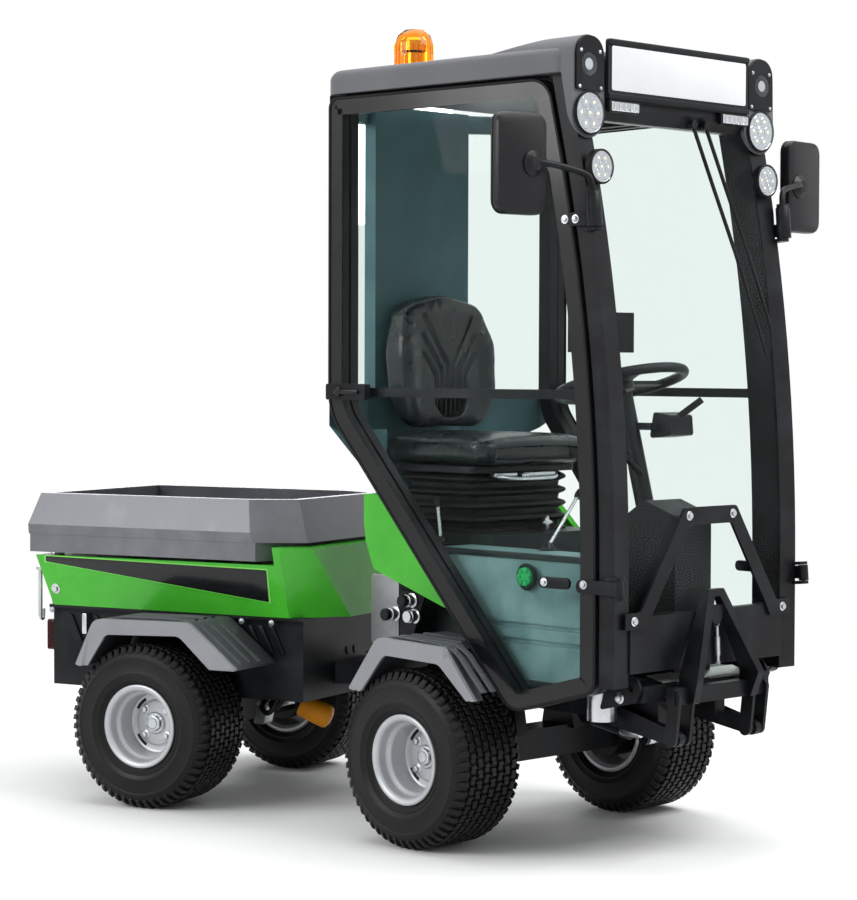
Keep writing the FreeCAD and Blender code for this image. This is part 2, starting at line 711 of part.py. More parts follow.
def lamp_fascia():
    """Dark panel on the upper half of the right pod, with a round well for its lens."""
    y = 1 - LAMP_Y
    rear = POD_FRONT_X + 0.3
    panel = prism("yz", [(y - 49, 1905), (y + 49, 1905), (y + 49, 2037), (y - 49, 2037)],
                  rear, rear + 6, [6, 6, 44, 44])
    return panel.cut(bar(V(rear + 2, -LAMP_Y - 3, HIGH_LAMP_Z), V(rear + 9, -LAMP_Y - 3, HIGH_LAMP_Z), 30))


def number_plate():
    """Blank plate in its black frame, on the front of the roof."""
    front = POD_FRONT_X + 2.3
    return prism("yz", [(-272, 1886), (272, 1886), (272, 2036), (-272, 2036)], front, front + 9.7, 8)


def round_lamps():
    """Lower clear lamps and upper lenses in both pods."""
    pieces = []
    for side in (-1, 1):
        low = V(POD_FRONT_X + 0.3, side * LAMP_Y, LOW_LAMP_Z)
        pieces.append(turned([(0.01, 0), (54, 0), (54, 5), (47, 9), (0.01, 9)], low, V(1, 0, 0)))
        high = V(POD_FRONT_X + 2.4, side * (LAMP_Y + 3), HIGH_LAMP_Z)
        pieces.append(turned([(0.01, 0), (29.7, 0), (29.7, 2), (18, 5), (0.01, 6)], high, V(1, 0, 0)))
    return Part.makeCompound(pieces)


def side_lamps():
    """Round work lamps on brackets in front of the pillars."""
    pieces = []
    for side in (-1, 1):
        centre = V(screen_x(SIDE_LAMP_Z, -4), side * SIDE_LAMP_Y, SIDE_LAMP_Z)
        lamp = turned([
            (0.01, 0), (16, 0), (41, 12), (43, 14), (43, 20), (39, 24), (0.01, 24),
        ], centre, V(1, 0, 0))
        foot = screen_x(SIDE_LAMP_Z, 0) - 12
        stem = box((foot, centre.x + 10), (centre.y - 8, centre.y + 8), (SIDE_LAMP_Z - 26, SIDE_LAMP_Z - 6))
        stem = stem.cut(pillar() if side < 0 else mirrored(pillar()))
        pieces.append(joined([lamp, stem]))
    return Part.makeCompound(pieces)


def strobes():
    """Flat flashing lamps under the plate."""
    front = POD_FRONT_X + 2.3
    strobe = box((front, front + 19.7), (-271, -157), (1856, 1885.7))
    return both_sides(strobe)


def beacon():
    """Amber beacon on its base."""
    return turned([
        (0.01, 0), (62, 0), (62, 14), (54, 22), (54, 84), (46, 108), (28, 122), (0.01, 127),
    ], V(-270, -200, ROOF_TOP_Z), V(0, 0, 1))


def mirror():
    """Right mirror: shell, ball clamp, curved arm and the socket on the upper hinge."""
    centre = V(465, -546, 1717)
    shell = prism("yz", [
        (centre.y - 78, centre.z - 122), (centre.y + 78, centre.z - 122),
        (centre.y + 78, centre.z + 122), (centre.y - 78, centre.z + 122),
    ], centre.x - 24, centre.x + 6, 30)
    shell.rotate(centre, V(0, 0, 1), -MIRROR_YAW)
    centres, direction = hinge_centres()
    socket_low = centres[1] + direction * HINGE_BARREL_HALF
    socket = bar(socket_low, socket_low + direction * SOCKET_LENGTH, SOCKET_R)
    arm = bent_tube([
        socket_low + direction * (SOCKET_LENGTH - 8), V(522, -386, 1696), V(492, -496, 1720), V(474, -530, 1720),
    ], 26, 8)
    clamp = turned([
        (0.01, 0), (30, 0), (34, 8), (22, 24), (0.01, 24),
    ], V(centre.x + 6, centre.y + 30, centre.z), V(1, 0, 0))
    return joined([shell, socket, arm, clamp])


def wipers():
    """Two wiper arms from the header, with one long blade near the left pillar."""
    pivot_z = 1850.0
    pieces = []
    header = roof_header()
    for y, low_z in ((60.0, 1260.0), (110.0, 1350.0)):
        stations = [(pivot_z, 484.0)] + [(z, screen_x(z, -12)) for z in (1700.0, 1520.0, low_z)]
        points = [V(x, y + (pivot_z - z) * 0.32, z) for z, x in stations]
        runs = [bar(points[i], points[i + 1], 5) for i in range(3)]
        knuckles = [Part.makeSphere(5, point) for point in points[1:]]
        stud = bar(V(470, y, pivot_z), V(492, y, pivot_z), 11)
        pieces.append(joined(runs + knuckles + [stud]).cut(header))
    return Part.makeCompound(pieces)


WALL_X = COVER_REAR_X - 0.3


def rear_wall():
    """Back wall folded round the seat; its lower edge follows the slant of the doors down to the platform."""
    outer = [(WALL_X, REAR_CORNER_HALF), (REAR_X, REAR_MIDDLE_HALF)]
    inner = [(WALL_X, REAR_CORNER_HALF - 35), (REAR_X + WALL_THICK, REAR_MIDDLE_HALF - 12)]
    outer += [(x, -y) for x, y in reversed(outer)]
    inner = [(x, -y) for x, y in inner] + list(reversed(inner))
    wall = prism("xy", outer + inner, REAR_WALL_LOW_Z, REAR_WALL_TOP_Z)
    below = prism("yz", [
        (REAR_MIDDLE_HALF, REAR_WALL_LOW_Z), (REAR_CORNER_HALF, REAR_FOLD_LOW_Z), (REAR_CORNER_HALF + 40, 1080),
        (REAR_CORNER_HALF + 40, 900), (REAR_MIDDLE_HALF, 900),
    ], REAR_X - 10, WALL_X + 10)
    half = REAR_MIDDLE_HALF - 0.3
    slant = prism("xz", [
        (REAR_X, REAR_WALL_LOW_Z + 3), (REAR_X, REAR_WALL_LOW_Z), (REAR_X + 17, REAR_WALL_LOW_Z - 6),
        (-340.3, PLATFORM_Z - 8), (-340.3, PLATFORM_Z + 10), (REAR_X + WALL_THICK, REAR_WALL_LOW_Z + 3),
    ], -half, half)
    return joined([wall.cut(below).cut(mirrored(below)), slant])


def rear_column():
    """Upright duct in the middle of the back wall, between the corner windows."""
    half = REAR_MIDDLE_HALF - 10
    return prism("xy", [(REAR_X - 8, -half), (-440, -half), (-440, half), (REAR_X - 8, half)],
                 REAR_WALL_TOP_Z, ROOF_LOW_Z, [20, 0, 0, 20])


def rear_header():
    """Rail under the roof above the corner windows."""
    outer = [
        (WALL_X, REAR_CORNER_HALF), (REAR_X, REAR_MIDDLE_HALF), (REAR_X, REAR_MIDDLE_HALF - 10),
        (REAR_X + WALL_THICK, REAR_MIDDLE_HALF - 10), (WALL_X, REAR_CORNER_HALF - 35),
    ]
    return prism("xy", outer, ROOF_LOW_Z - 50, ROOF_LOW_Z)


def corner_glass():
    """Left corner window."""
    return prism("xy", [
        (WALL_X, REAR_CORNER_HALF - 7), (REAR_X + 6, REAR_MIDDLE_HALF - 6), (REAR_X + 11, REAR_MIDDLE_HALF - 8),
        (WALL_X, REAR_CORNER_HALF - 18),
    ], REAR_WALL_TOP_Z, ROOF_LOW_Z - 50)


def seat_base():
    """Suspension with bellows under the seat."""
    pieces = [box((-330, -60), (-190, 190), (PLATFORM_Z, PLATFORM_Z + 30))]
    for i in range(4):
        z = PLATFORM_Z + 40 + i * 36
        pieces.append(box((-320, -70), (-185, 185), (z, z + 22)))
    pieces.append(box((-300, -90), (-165, 165), (PLATFORM_Z + 20, 970)))
    return joined(pieces)


def seat_cushion():
    return prism("xy", [(-405, -225), (34, -225), (34, 225), (-405, 225)], 970.3, 1052, 50)


def seat_back():
    shape = prism("xz", [(-400, 1052.3), (-300, 1052.3), (-330, 1450), (-420, 1450)], -200, 200, [30, 20, 25, 25])
    return shape


def console():
    """Steering console on the floor, with a sloped front."""
    return prism("xz", [
        (330, FLOOR_Z), (545, FLOOR_Z), (545, 860), (440, 897), (370, 850), (330, 640),
    ], -70, 70, 12)


COLUMN_TOP = V(300, 0, 1190)
COLUMN_BASE = V(392, 0, 850)


def steering_column():
    direction = (COLUMN_TOP - COLUMN_BASE).normalize()
    tube = bar(COLUMN_BASE, COLUMN_TOP - direction * 30, 24)
    spindle = bar(COLUMN_TOP - direction * 31, COLUMN_TOP + direction * 10, 9)
    return joined([tube, spindle])


def steering_wheel():
    """Rim, three spokes and hub, square to the column."""
    rim_r = 165.0
    direction = (COLUMN_TOP - COLUMN_BASE).normalize()
    ring_shape = Part.makeTorus(rim_r, 13)
    hub = Part.makeCylinder(32, 34, V(0, 0, -20)).cut(Part.makeCylinder(9 + RUNNING_CLEARANCE, 32, V(0, 0, -21)))
    pieces = [ring_shape, hub]
    for i in range(3):
        angle = 90 + 120 * i
        spoke = box((20, rim_r), (-11, 11), (-5, 5))
        spoke.rotate(V(0, 0, 0), V(0, 0, 1), angle)
        pieces.append(spoke)
    shape = joined(pieces)
    shape.Placement = FreeCAD.Placement(COLUMN_TOP, FreeCAD.Rotation(V(0, 0, 1), direction))
    return shape


def controls():
    """Display beside the steering wheel and the switch box on the column."""
    pieces = []
    display = box((330, 356), (-235, -205 + 190), (1270, 1372))
    stalk = bent_tube([V(345, -205, 1280), V(345, -200, 1120), V(378, -10, 960)], 30, 8)
    pieces.append(joined([display, stalk]))
    switch = prism("xz", [(372, 1050), (445, 1058), (440, 1110), (385, 1118)], 30, 118, 8)
    arm = box((330, 400), (0, 34), (1072, 1090))
    lever = bar(V(430, 75, 1105), V(470, 120, 1150), 9)
    pieces.append(joined([switch, arm, lever]))
    return pieces


def fender():
    """Right front fender: top plate, outer lip and three raised ribs, hollowed for the door's swing."""
    inner = [(-177, 392), (-80, 520), (150, 515), (255, 405)]
    outer = [(285, 412), (165, 531), (-88, 538), (-196, 396)]
    plate = prism("xz", inner + outer, -500, -CHASSIS_HALF - 2.3, [4, 25, 30, 4, 4, 40, 35, 4])
    lip_in = [(-150, 392), (-62, 494), (138, 488), (238, 405)]
    lip = prism("xz", lip_in + outer, -500, -490, [4, 30, 35, 4, 4, 40, 35, 4])
    pieces = [plate, lip]
    for i in range(3):
        y = -430 + i * 42
        pieces.append(prism("xz", [(-60, 530), (140, 526), (146, 536), (-66, 541)], y - 9, y + 9))
    beside_door = box((118, 400), (-410, 0), (300, 600))
    return joined(pieces).cut(beside_door).cut(door_swing())


def door_swing():
    """Room that the lower edge of the right door sweeps as it opens, seen round its hinge line."""
    low, direction = hinge_axis()
    foot_r = HINGE_PIN_X - DOOR_TOE_X
    slope = (DOOR_KNEE_Z - DOOR_TOE_Z) / (DOOR_TOE_X - DOOR_REAR_X)
    far = foot_r + 300
    profile = [
        (foot_r - 40, DOOR_TOE_Z - MOVING_GAP - HINGE_PIN_Z + 10),
        (foot_r, DOOR_TOE_Z - MOVING_GAP - HINGE_PIN_Z),
        (far, DOOR_TOE_Z + slope * 300 - MOVING_GAP - HINGE_PIN_Z),
        (foot_r - 40, DOOR_TOE_Z + slope * 300 - MOVING_GAP - HINGE_PIN_Z),
    ]
    return turned(profile, V(low.x, low.y, low.z), V(0, 0, 1))


def side_cover():
    """Right green cover behind the door's slanted edge."""
    points = [
        (-335, 892), (-335, 819), (-327, 764), (-296, 691), (-36, 610), (54, 590), (54, 612), (-250, 892),
    ]
    return prism("xz", points, -318, -296, [8, 30, 40, 20, 60, 5, 5, 20])


def cover_ties():
    """Brackets that hold the side covers to the sides of the seat platform."""
    right = box((-300, -288), (-297, -190.3), (700, 780))
    left = box((-300, -288), (250.3, 297), (700, 780))
    return right, left


def oil_couplings():
    """Three quick couplings on the right of the front chassis."""
    pieces = []
    for x, z in ((-199, 610), (-264, 570), (-188, 569)):
        pieces.append(bar(V(x, -CHASSIS_HALF - 0.3, z), V(x, -CHASSIS_HALF - 34, z), 15))
    return Part.makeCompound(pieces)


def underside_filter():
    """Silver filter can under the right side of the cab floor."""
    return bar(V(430, -210, 350), V(430, -210, FLOOR_Z - FLOOR_THICK), 38)


def lift_points():
    """Front pin of the lift arms and the lever pin under their pivot, at rest."""
    angle = math.radians(LIFT_REST_ANGLE)
    pivot = V(LIFT_PIVOT_X, 0, LIFT_PIVOT_Z)
    front = pivot + V(math.cos(angle), 0, -math.sin(angle)) * LIFT_ARM_LENGTH
    lever = pivot + V(-math.sin(angle), 0, -math.cos(angle)) * LIFT_LEVER
    return pivot, front, lever


def lift_arms():
    """Pair of arms on one cross shaft, with the lever for the lift cylinder."""
    pivot, front, lever = lift_points()
    shaft = bar(pivot + V(0, -160, 0), pivot + V(0, 160, 0), 18)
    pieces = [shaft]
    for side in (-1, 1):
        low, high = sorted((side * 140, side * 160))
        arm = capsule_xz(pivot, 28, front, 19, low, high)
        pieces.append(arm)
        pin_low, pin_high = sorted((side * 114, side * 176))
        pieces.append(bar(V(front.x, pin_low, front.z), V(front.x, pin_high, front.z), 12))
    for side in (-1, 1):
        low, high = sorted((side * 15, side * 25))
        pieces.append(capsule_xz(pivot, 26, lever, 16, low, high))
    return joined(pieces)


def capsule_xz(first, first_r, second, second_r, low, high):
    """Plate between two Y levels, round two centres of different radius."""
    span = V(second.x - first.x, 0, second.z - first.z)
    length = span.Length
    along = span.normalize()
    across = V(-along.z, 0, along.x)
    tilt = math.asin((first_r - second_r) / length)
    cos_t, sin_t = math.cos(tilt), math.sin(tilt)
    a = V(first.x, low, first.z)
    b = V(second.x, low, second.z)
    up = across * cos_t + along * sin_t
    down = across * -cos_t + along * sin_t
    wire = Part.Wire([
        Part.Arc(a + up * first_r, a - along * first_r, a + down * first_r).toShape(),
        Part.LineSegment(a + down * first_r, b + down * second_r).toShape(),
        Part.Arc(b + down * second_r, b + along * second_r, b + up * second_r).toShape(),
        Part.LineSegment(b + up * second_r, a + up * first_r).toShape(),
    ])
    return Part.Face(wire).extrude(V(0, high - low, 0))


def lift_frame():
    """Tool coupler: leaning A-frame with its bridge and hook plate, on a short cross bar with lugs."""
    front = lift_points()[1]
    rear_x = NOSE_X + 7.5
    top = COUPLER_TOP_Z
    cross = box(COUPLER_X, (-180, 180), (404, 446))
    side_view = prism("xz", [
        (rear_x, top), (622, top), (672, 467), (652, 404), (COUPLER_X[0], 404), (COUPLER_X[0], 446), (rear_x, 600),
    ], -200, 200, [4, 4, 30, 4, 0, 0, 0])
    leg = prism("yz", [(4, top), (29.5, top), (131, 467), (124, 404), (100, 404), (107, 467), (10, 662)], rear_x, 700)
    bridge = prism("yz", [(-29.5, top), (29.5, top), (38, 662), (-38, 662)], rear_x, 700)
    legs = joined([leg, mirrored(leg), bridge]).common(side_view)
    disc = bar(V(614, 0, 614), V(624, 0, 614), 22)
    web = box((614, 624), (-34, 34), (622, 640))
    lugs = []
    for y in (119, 171):
        lug = capsule_xz(V(front.x, 0, front.z), 18, V(front.x + 12, 0, 424), 18, y - 5, y + 5)
        lugs += [lug, mirrored(lug)]
    solid = joined([cross, legs, disc, web] + lugs)
    return solid.cut(bar(front + V(0, -200, 0), front + V(0, 200, 0), 12 + RUNNING_CLEARANCE))


def hydraulic(base, towards, across, length, radius, rod_r, tail, closed, eye_half):
    """Barrel and rod of one cylinder between two pins along the across direction, with its closed reach."""
    reach = base.distanceToPoint(towards)
    direction = (towards - base).normalize()
    foot = radius + 2
    barrel = joined([
        bar(base + direction * foot, base + direction * length, radius),
        bar(base + direction * (length - 24), base + direction * length, radius + 3),
        bar(base, base + direction * (foot + 3), eye_half - 1),
        bar(base - across * eye_half, base + across * eye_half, radius - 3),
    ])
    barrel = barrel.cut(bar(base - across * 60, base + across * 60, CLEVIS_PIN_R + RUNNING_CLEARANCE))
    well = bar(base + direction * (closed - tail - 3), base + direction * (length + 5), rod_r + 0.3)
    rod = joined([
        bar(base + direction * (reach - tail), towards, rod_r),
        bar(towards - across * eye_half, towards + across * eye_half, rod_r + 7),
    ])
    return barrel.cut(well), rod


def lift_cylinder():
    lever = lift_points()[2]
    base = V(LIFT_BASE_X, 0, LIFT_BASE_Z)
    return hydraulic(base, lever, V(0, 1, 0), 150, 20, 9, 122, base.distanceToPoint(lever), 12)


def lift_base_bracket():
    """Two ears under the cross member with the pin of the lift cylinder."""
    base = V(LIFT_BASE_X, 0, LIFT_BASE_Z)
    pieces = []
    for side in (-1, 1):
        low, high = sorted((side * 13, side * 21))
        pieces.append(capsule_xz(V(170, 0, 360), 22, base, 15, low, high))
    pieces.append(bar(base + V(0, -21, 0), base + V(0, 21, 0), CLEVIS_PIN_R))
    return joined(pieces)


def rear_chassis():
    """Open-topped welded box with the pivot knuckle on its nose."""
    x0, x1 = REAR_CHASSIS_REAR_X, REAR_CHASSIS_FRONT_X
    half = CHASSIS_HALF
    outer = box((x0, x1), (-half, half), (REAR_CHASSIS_LOW_Z, REAR_CHASSIS_TOP_Z))
    inner = box((x0 + 8, x1 - 8), (-half + 8, half - 8), (REAR_CHASSIS_LOW_Z - 1, REAR_CHASSIS_TOP_Z + 1))
    pieces = [outer.cut(inner)]
    for x in (-1480, -1160, -1070, -790):
        pieces.append(box((x, x + 30), (-half + 4, half - 4), (REAR_CHASSIS_LOW_Z, REAR_CHASSIS_LOW_Z + 30)))
    for side in (-1, 1):
        low, high = sorted((side * (half - 4), side * (half + FLANGE_WIDTH)))
        pieces.append(box((x0, x1), (low, high), (REAR_CHASSIS_TOP_Z - 6, REAR_CHASSIS_TOP_Z + 3)))
    knuckle = prism("xy", [
        (x1 - 4, -90), (x1 - 4, 90), (-AXLE_TO_PIVOT - 60, 46), (-AXLE_TO_PIVOT + 46, 46),
        (-AXLE_TO_PIVOT + 46, -46), (-AXLE_TO_PIVOT - 60, -46),
    ], KNUCKLE_LOW_Z, KNUCKLE_LOW_Z + KNUCKLE_HEIGHT, [0, 0, 0, 42, 42, 0])
    fork_low = KNUCKLE_LOW_Z - KNUCKLE_GAP - FORK_PLATE
    fork_top = KNUCKLE_LOW_Z + KNUCKLE_HEIGHT + KNUCKLE_GAP + FORK_PLATE
    pin = bar(V(-AXLE_TO_PIVOT, 0, fork_low - 10), V(-AXLE_TO_PIVOT, 0, fork_top + 10), PIVOT_PIN_R)
    pieces += [knuckle, pin]
    base = V(TIP_BASE_X, 0, TIP_BASE_Z)
    for side in (-1, 1):
        low, high = sorted((side * 16, side * 26))
        pieces.append(capsule_xz(V(x1 - 20, 0, TIP_BASE_Z), 24, base, 20, low, high))
        pieces.append(box((x1 - 40, x1 - 4), (low, high), (TIP_BASE_Z - 24, TIP_BASE_Z + 24)))
    pieces.append(bar(base + V(0, -26, 0), base + V(0, 26, 0), CLEVIS_PIN_R))
    lug = prism("xy", [(x1 - 2, STEER_Y - 26), (x1 - 2, STEER_Y + 26), (STEER_EYE_X + 20, STEER_Y + 20),
                       (STEER_EYE_X + 20, STEER_Y - 20)], STEER_Z + 18, STEER_Z + 28, [0, 0, 18, 18])
    pieces.append(lug)
    return joined(pieces)


def rear_axle():
    shape = axle(REAR_CHASSIS_LOW_Z, 150)
    shape.translate(V(-WHEELBASE, 0, 0))
    return shape


def engine_block():
    """Plain block at the place and size of the engine, on its mounts."""
    return box((-1500, TIP_EYE_X + 25), (-185, 185), (REAR_CHASSIS_LOW_Z + 30, 585))


def body_shell():
    """Green engine cover, open underneath: its sides rise to a nose ahead of the bed; slot for the tip cylinder."""
    low, mid, high = SHELL_LOW_Z, SHELL_TOP_Z, SHELL_NOSE_TOP_Z
    flare = (SHELL_TOP_HALF - SHELL_LOW_HALF) / (mid - low)
    front = -733
    wall = SHELL_WALL

    def level(z, rear, nose_half, nose, inset):
        side = SHELL_LOW_HALF + flare * (z - low) - inset
        return outline("xy", [
            (rear + inset, side), (front - inset, side), (nose - inset, nose_half - inset),
            (nose - inset, inset - nose_half), (front - inset, -side), (rear + inset, -side),
        ], 0, z)

    body = Part.makeLoft([level(low, -1537, 160, -608, 0), level(mid, -1572, 279, -632, 0)], True, True)
    nose = Part.makeLoft([level(mid, -757, 279, -632, 0), level(high, -757, 320, -640, 0)], True, True)
    inside = Part.makeLoft([
        level(low - 1, -1537, 160, -608, wall), level(mid - wall, -1572, 275, -631, wall),
    ], True, True)
    nose_inside = Part.makeLoft([
        level(mid - wall - 1, -757, 274, -631, wall), level(high - wall, -757, 316, -639, wall),
    ], True, True)
    slot = box((TIP_EYE_X - 65, -830), (-48, 48), (mid - 20, mid + 5))
    return body.fuse(nose).cut(inside).cut(nose_inside).cut(slot).removeSplitter()


def load_bed():
    """Tipping bed: flared walls above a fold, open on top, with hinge ears and the cylinder lug."""
    def level(z, half, rear, shoulder, front, front_half):
        return outline("xy", [
            (rear, half), (shoulder, half), (front, front_half), (front, -front_half),
            (shoulder, -half), (rear, -half),
        ], 0, z)

    rim = level(BED_RIM_Z, BED_RIM_HALF, BED_REAR_X, -860, BED_FRONT_X, 230)
    fold = level(BED_KNUCKLE_Z, BED_KNUCKLE_HALF, -1597, -834, -700, 255)
    foot = level(742, 332, -1595, -826, -689, 260)
    upper = Part.makeLoft([fold, rim], True, True)
    lower = Part.makeLoft([foot, fold], True, True)
    base = prism("xy", [(-1592, 330), (-818, 330), (-765, 250), (-765, -250), (-818, -330), (-1592, -330)],
                 BED_FLOOR_Z, 742.5)
    w = BED_WALL
    cavity = Part.makeLoft([
        level(752, 300, -1568, -845, -722, 235),
        level(BED_RIM_Z + 1, BED_RIM_HALF - w, BED_REAR_X + w, -860 - w / 2, BED_FRONT_X - w, 230 - w / 2),
    ], True, True)
    well = prism("xy", [(-1566, 300), (-840, 300), (-795, 232), (-795, -232), (-840, -300), (-1566, -300)],
                 BED_FLOOR_Z + 8, 754)
    solid = joined([base, lower, upper]).cut(cavity).cut(well)
    eye = V(TIP_EYE_X, 0, TIP_EYE_Z)
    pieces = [solid]
    for side in (-1, 1):
        low, high = sorted((side * 17, side * 27))
        pieces.append(prism("xz", [
            (TIP_EYE_X - 32, BED_FLOOR_Z + 4), (TIP_EYE_X + 32, BED_FLOOR_Z + 4),
            (TIP_EYE_X + 18, TIP_EYE_Z - 18), (TIP_EYE_X - 18, TIP_EYE_Z - 18),
        ], low, high, [0, 0, 14, 14]))
        ear_low, ear_high = sorted((side * 180, side * 196))
        pieces.append(capsule_xz(V(BED_HINGE_X, 0, BED_HINGE_Z), HINGE_EYE_R,
                                 V(BED_HINGE_X + 2, 0, BED_FLOOR_Z + 16), 12, ear_low, ear_high))
    solid = joined(pieces)
    pin = bar(V(BED_HINGE_X, -260, BED_HINGE_Z), V(BED_HINGE_X, 260, BED_HINGE_Z), CLEVIS_PIN_R + RUNNING_CLEARANCE)
    eye_hole = bar(eye + V(0, -60, 0), eye + V(0, 60, 0), 12)
    return solid.cut(pin).cut(eye_hole)


def bed_hinge():
    """Hinge brackets at the rear of the chassis, with the pins of the bed."""
    near = BED_HINGE_X + HINGE_EYE_R
    far = BED_HINGE_X - HINGE_EYE_R
    plate = prism("xz", [
        (REAR_CHASSIS_REAR_X, 500), (REAR_CHASSIS_REAR_X, 560), (near, 640), (near, BED_HINGE_Z + HINGE_EYE_R),
        (far, BED_HINGE_Z + HINGE_EYE_R), (far, 560), (BED_HINGE_X + 4, 500),
    ], 199, 215, [0, 0, 0, 10, 10, 8, 8])
    pin = bar(V(BED_HINGE_X, 178, BED_HINGE_Z), V(BED_HINGE_X, 215, BED_HINGE_Z), CLEVIS_PIN_R)
    return both_sides(joined([plate, pin]))


def tip_cylinder():
    base = V(TIP_BASE_X, 0, TIP_BASE_Z)
    eye = V(TIP_EYE_X, 0, TIP_EYE_Z)
    return hydraulic(base, eye, V(0, 1, 0), TIP_BARREL_LENGTH, TIP_BARREL_R, TIP_ROD_R, TIP_BARREL_LENGTH,
                     base.distanceToPoint(eye), 14)


def steer_eye(turn):
    """Rod eye of the steering cylinder with the rear unit turned by an angle."""
    eye = V(STEER_EYE_X, STEER_Y, STEER_Z)
    about = V(-AXLE_TO_PIVOT, 0, 0)
    return about + FreeCAD.Rotation(V(0, 0, 1), turn).multVec(eye - about)


def steer_cylinder():
    base = V(STEER_BASE_X, STEER_Y, STEER_Z)
    return hydraulic(base, steer_eye(REST_TURN), V(0, 0, 1), STEER_BARREL_LENGTH, STEER_BARREL_R, STEER_ROD_R,
                     311, base.distanceToPoint(steer_eye(REST_TURN + STEER_RANGE[0])), 12)


def steer_bracket():
    """Lug under the front chassis with the pin of the steering cylinder."""
    base = V(STEER_BASE_X, STEER_Y, STEER_Z)
    plate = prism("xy", [(-232, 160), (-232, 230), (-160, 215), (-160, 165)], STEER_Z + STEER_BARREL_R + MOVING_GAP,
                  RAIL_TOP - RAIL_HEIGHT, [0, 0, 16, 16])
    return joined([plate, bar(base - V(0, 0, 14), base + V(0, 0, 30), CLEVIS_PIN_R)])


def rear_fender():
    """Right rear fender, like the front one but with its own ends."""
    inner = [(-188, 388), (-150, 470), (-120, 500), (150, 512), (268, 404)]
    outer = [(330, 404), (172, 529), (-145, 524), (-208, 392)]
    plate = prism("xz", inner + outer, -500, -CHASSIS_HALF - FLANGE_WIDTH - 0.3, [4, 20, 20, 30, 4, 4, 45, 35, 4])
    lip_in = [(-165, 392), (-105, 482), (140, 490), (240, 404)]
    lip = prism("xz", lip_in + outer, -500, -490, [4, 25, 35, 4, 4, 45, 35, 4])
    pieces = [plate, lip]
    for i in range(3):
        y = -430 + i * 42
        pieces.append(prism("xz", [(-90, 517), (150, 524), (156, 534), (-96, 527)], y - 9, y + 9))
    shape = joined(pieces)
    shape.translate(V(-WHEELBASE, 0, 0))
    return shape


def tail_lamps():
    pieces = []
    for side in (-1, 1):
        centre = V(REAR_CHASSIS_REAR_X - 0.3, side * 232, 440)
        body = prism("yz", [
            (centre.y - 24, centre.z - 45), (centre.y + 24, centre.z - 45),
            (centre.y + 24, centre.z + 45), (centre.y - 24, centre.z + 45),
        ], centre.x - 30, centre.x, 8)
        pieces.append(body)
    return Part.makeCompound(pieces)


def tow_hitch():
    """Tow bracket with an upright pin hole at the rear of the chassis."""
    plate = box((REAR_CHASSIS_REAR_X - 10, REAR_CHASSIS_REAR_X), (-60, 60), (330, 430))
    pieces = [plate]
    for z in (350, 396):
        pieces.append(prism("xy", [
            (REAR_CHASSIS_REAR_X - 6, -40), (REAR_CHASSIS_REAR_X - 6, 40), (TOW_PIN_X - 26, 26),
            (TOW_PIN_X - 26, -26),
        ], z, z + 12, [0, 0, 18, 18]))
    return joined(pieces).cut(bar(V(TOW_PIN_X, 0, 330), V(TOW_PIN_X, 0, 440), TOW_PIN_HOLE_R))


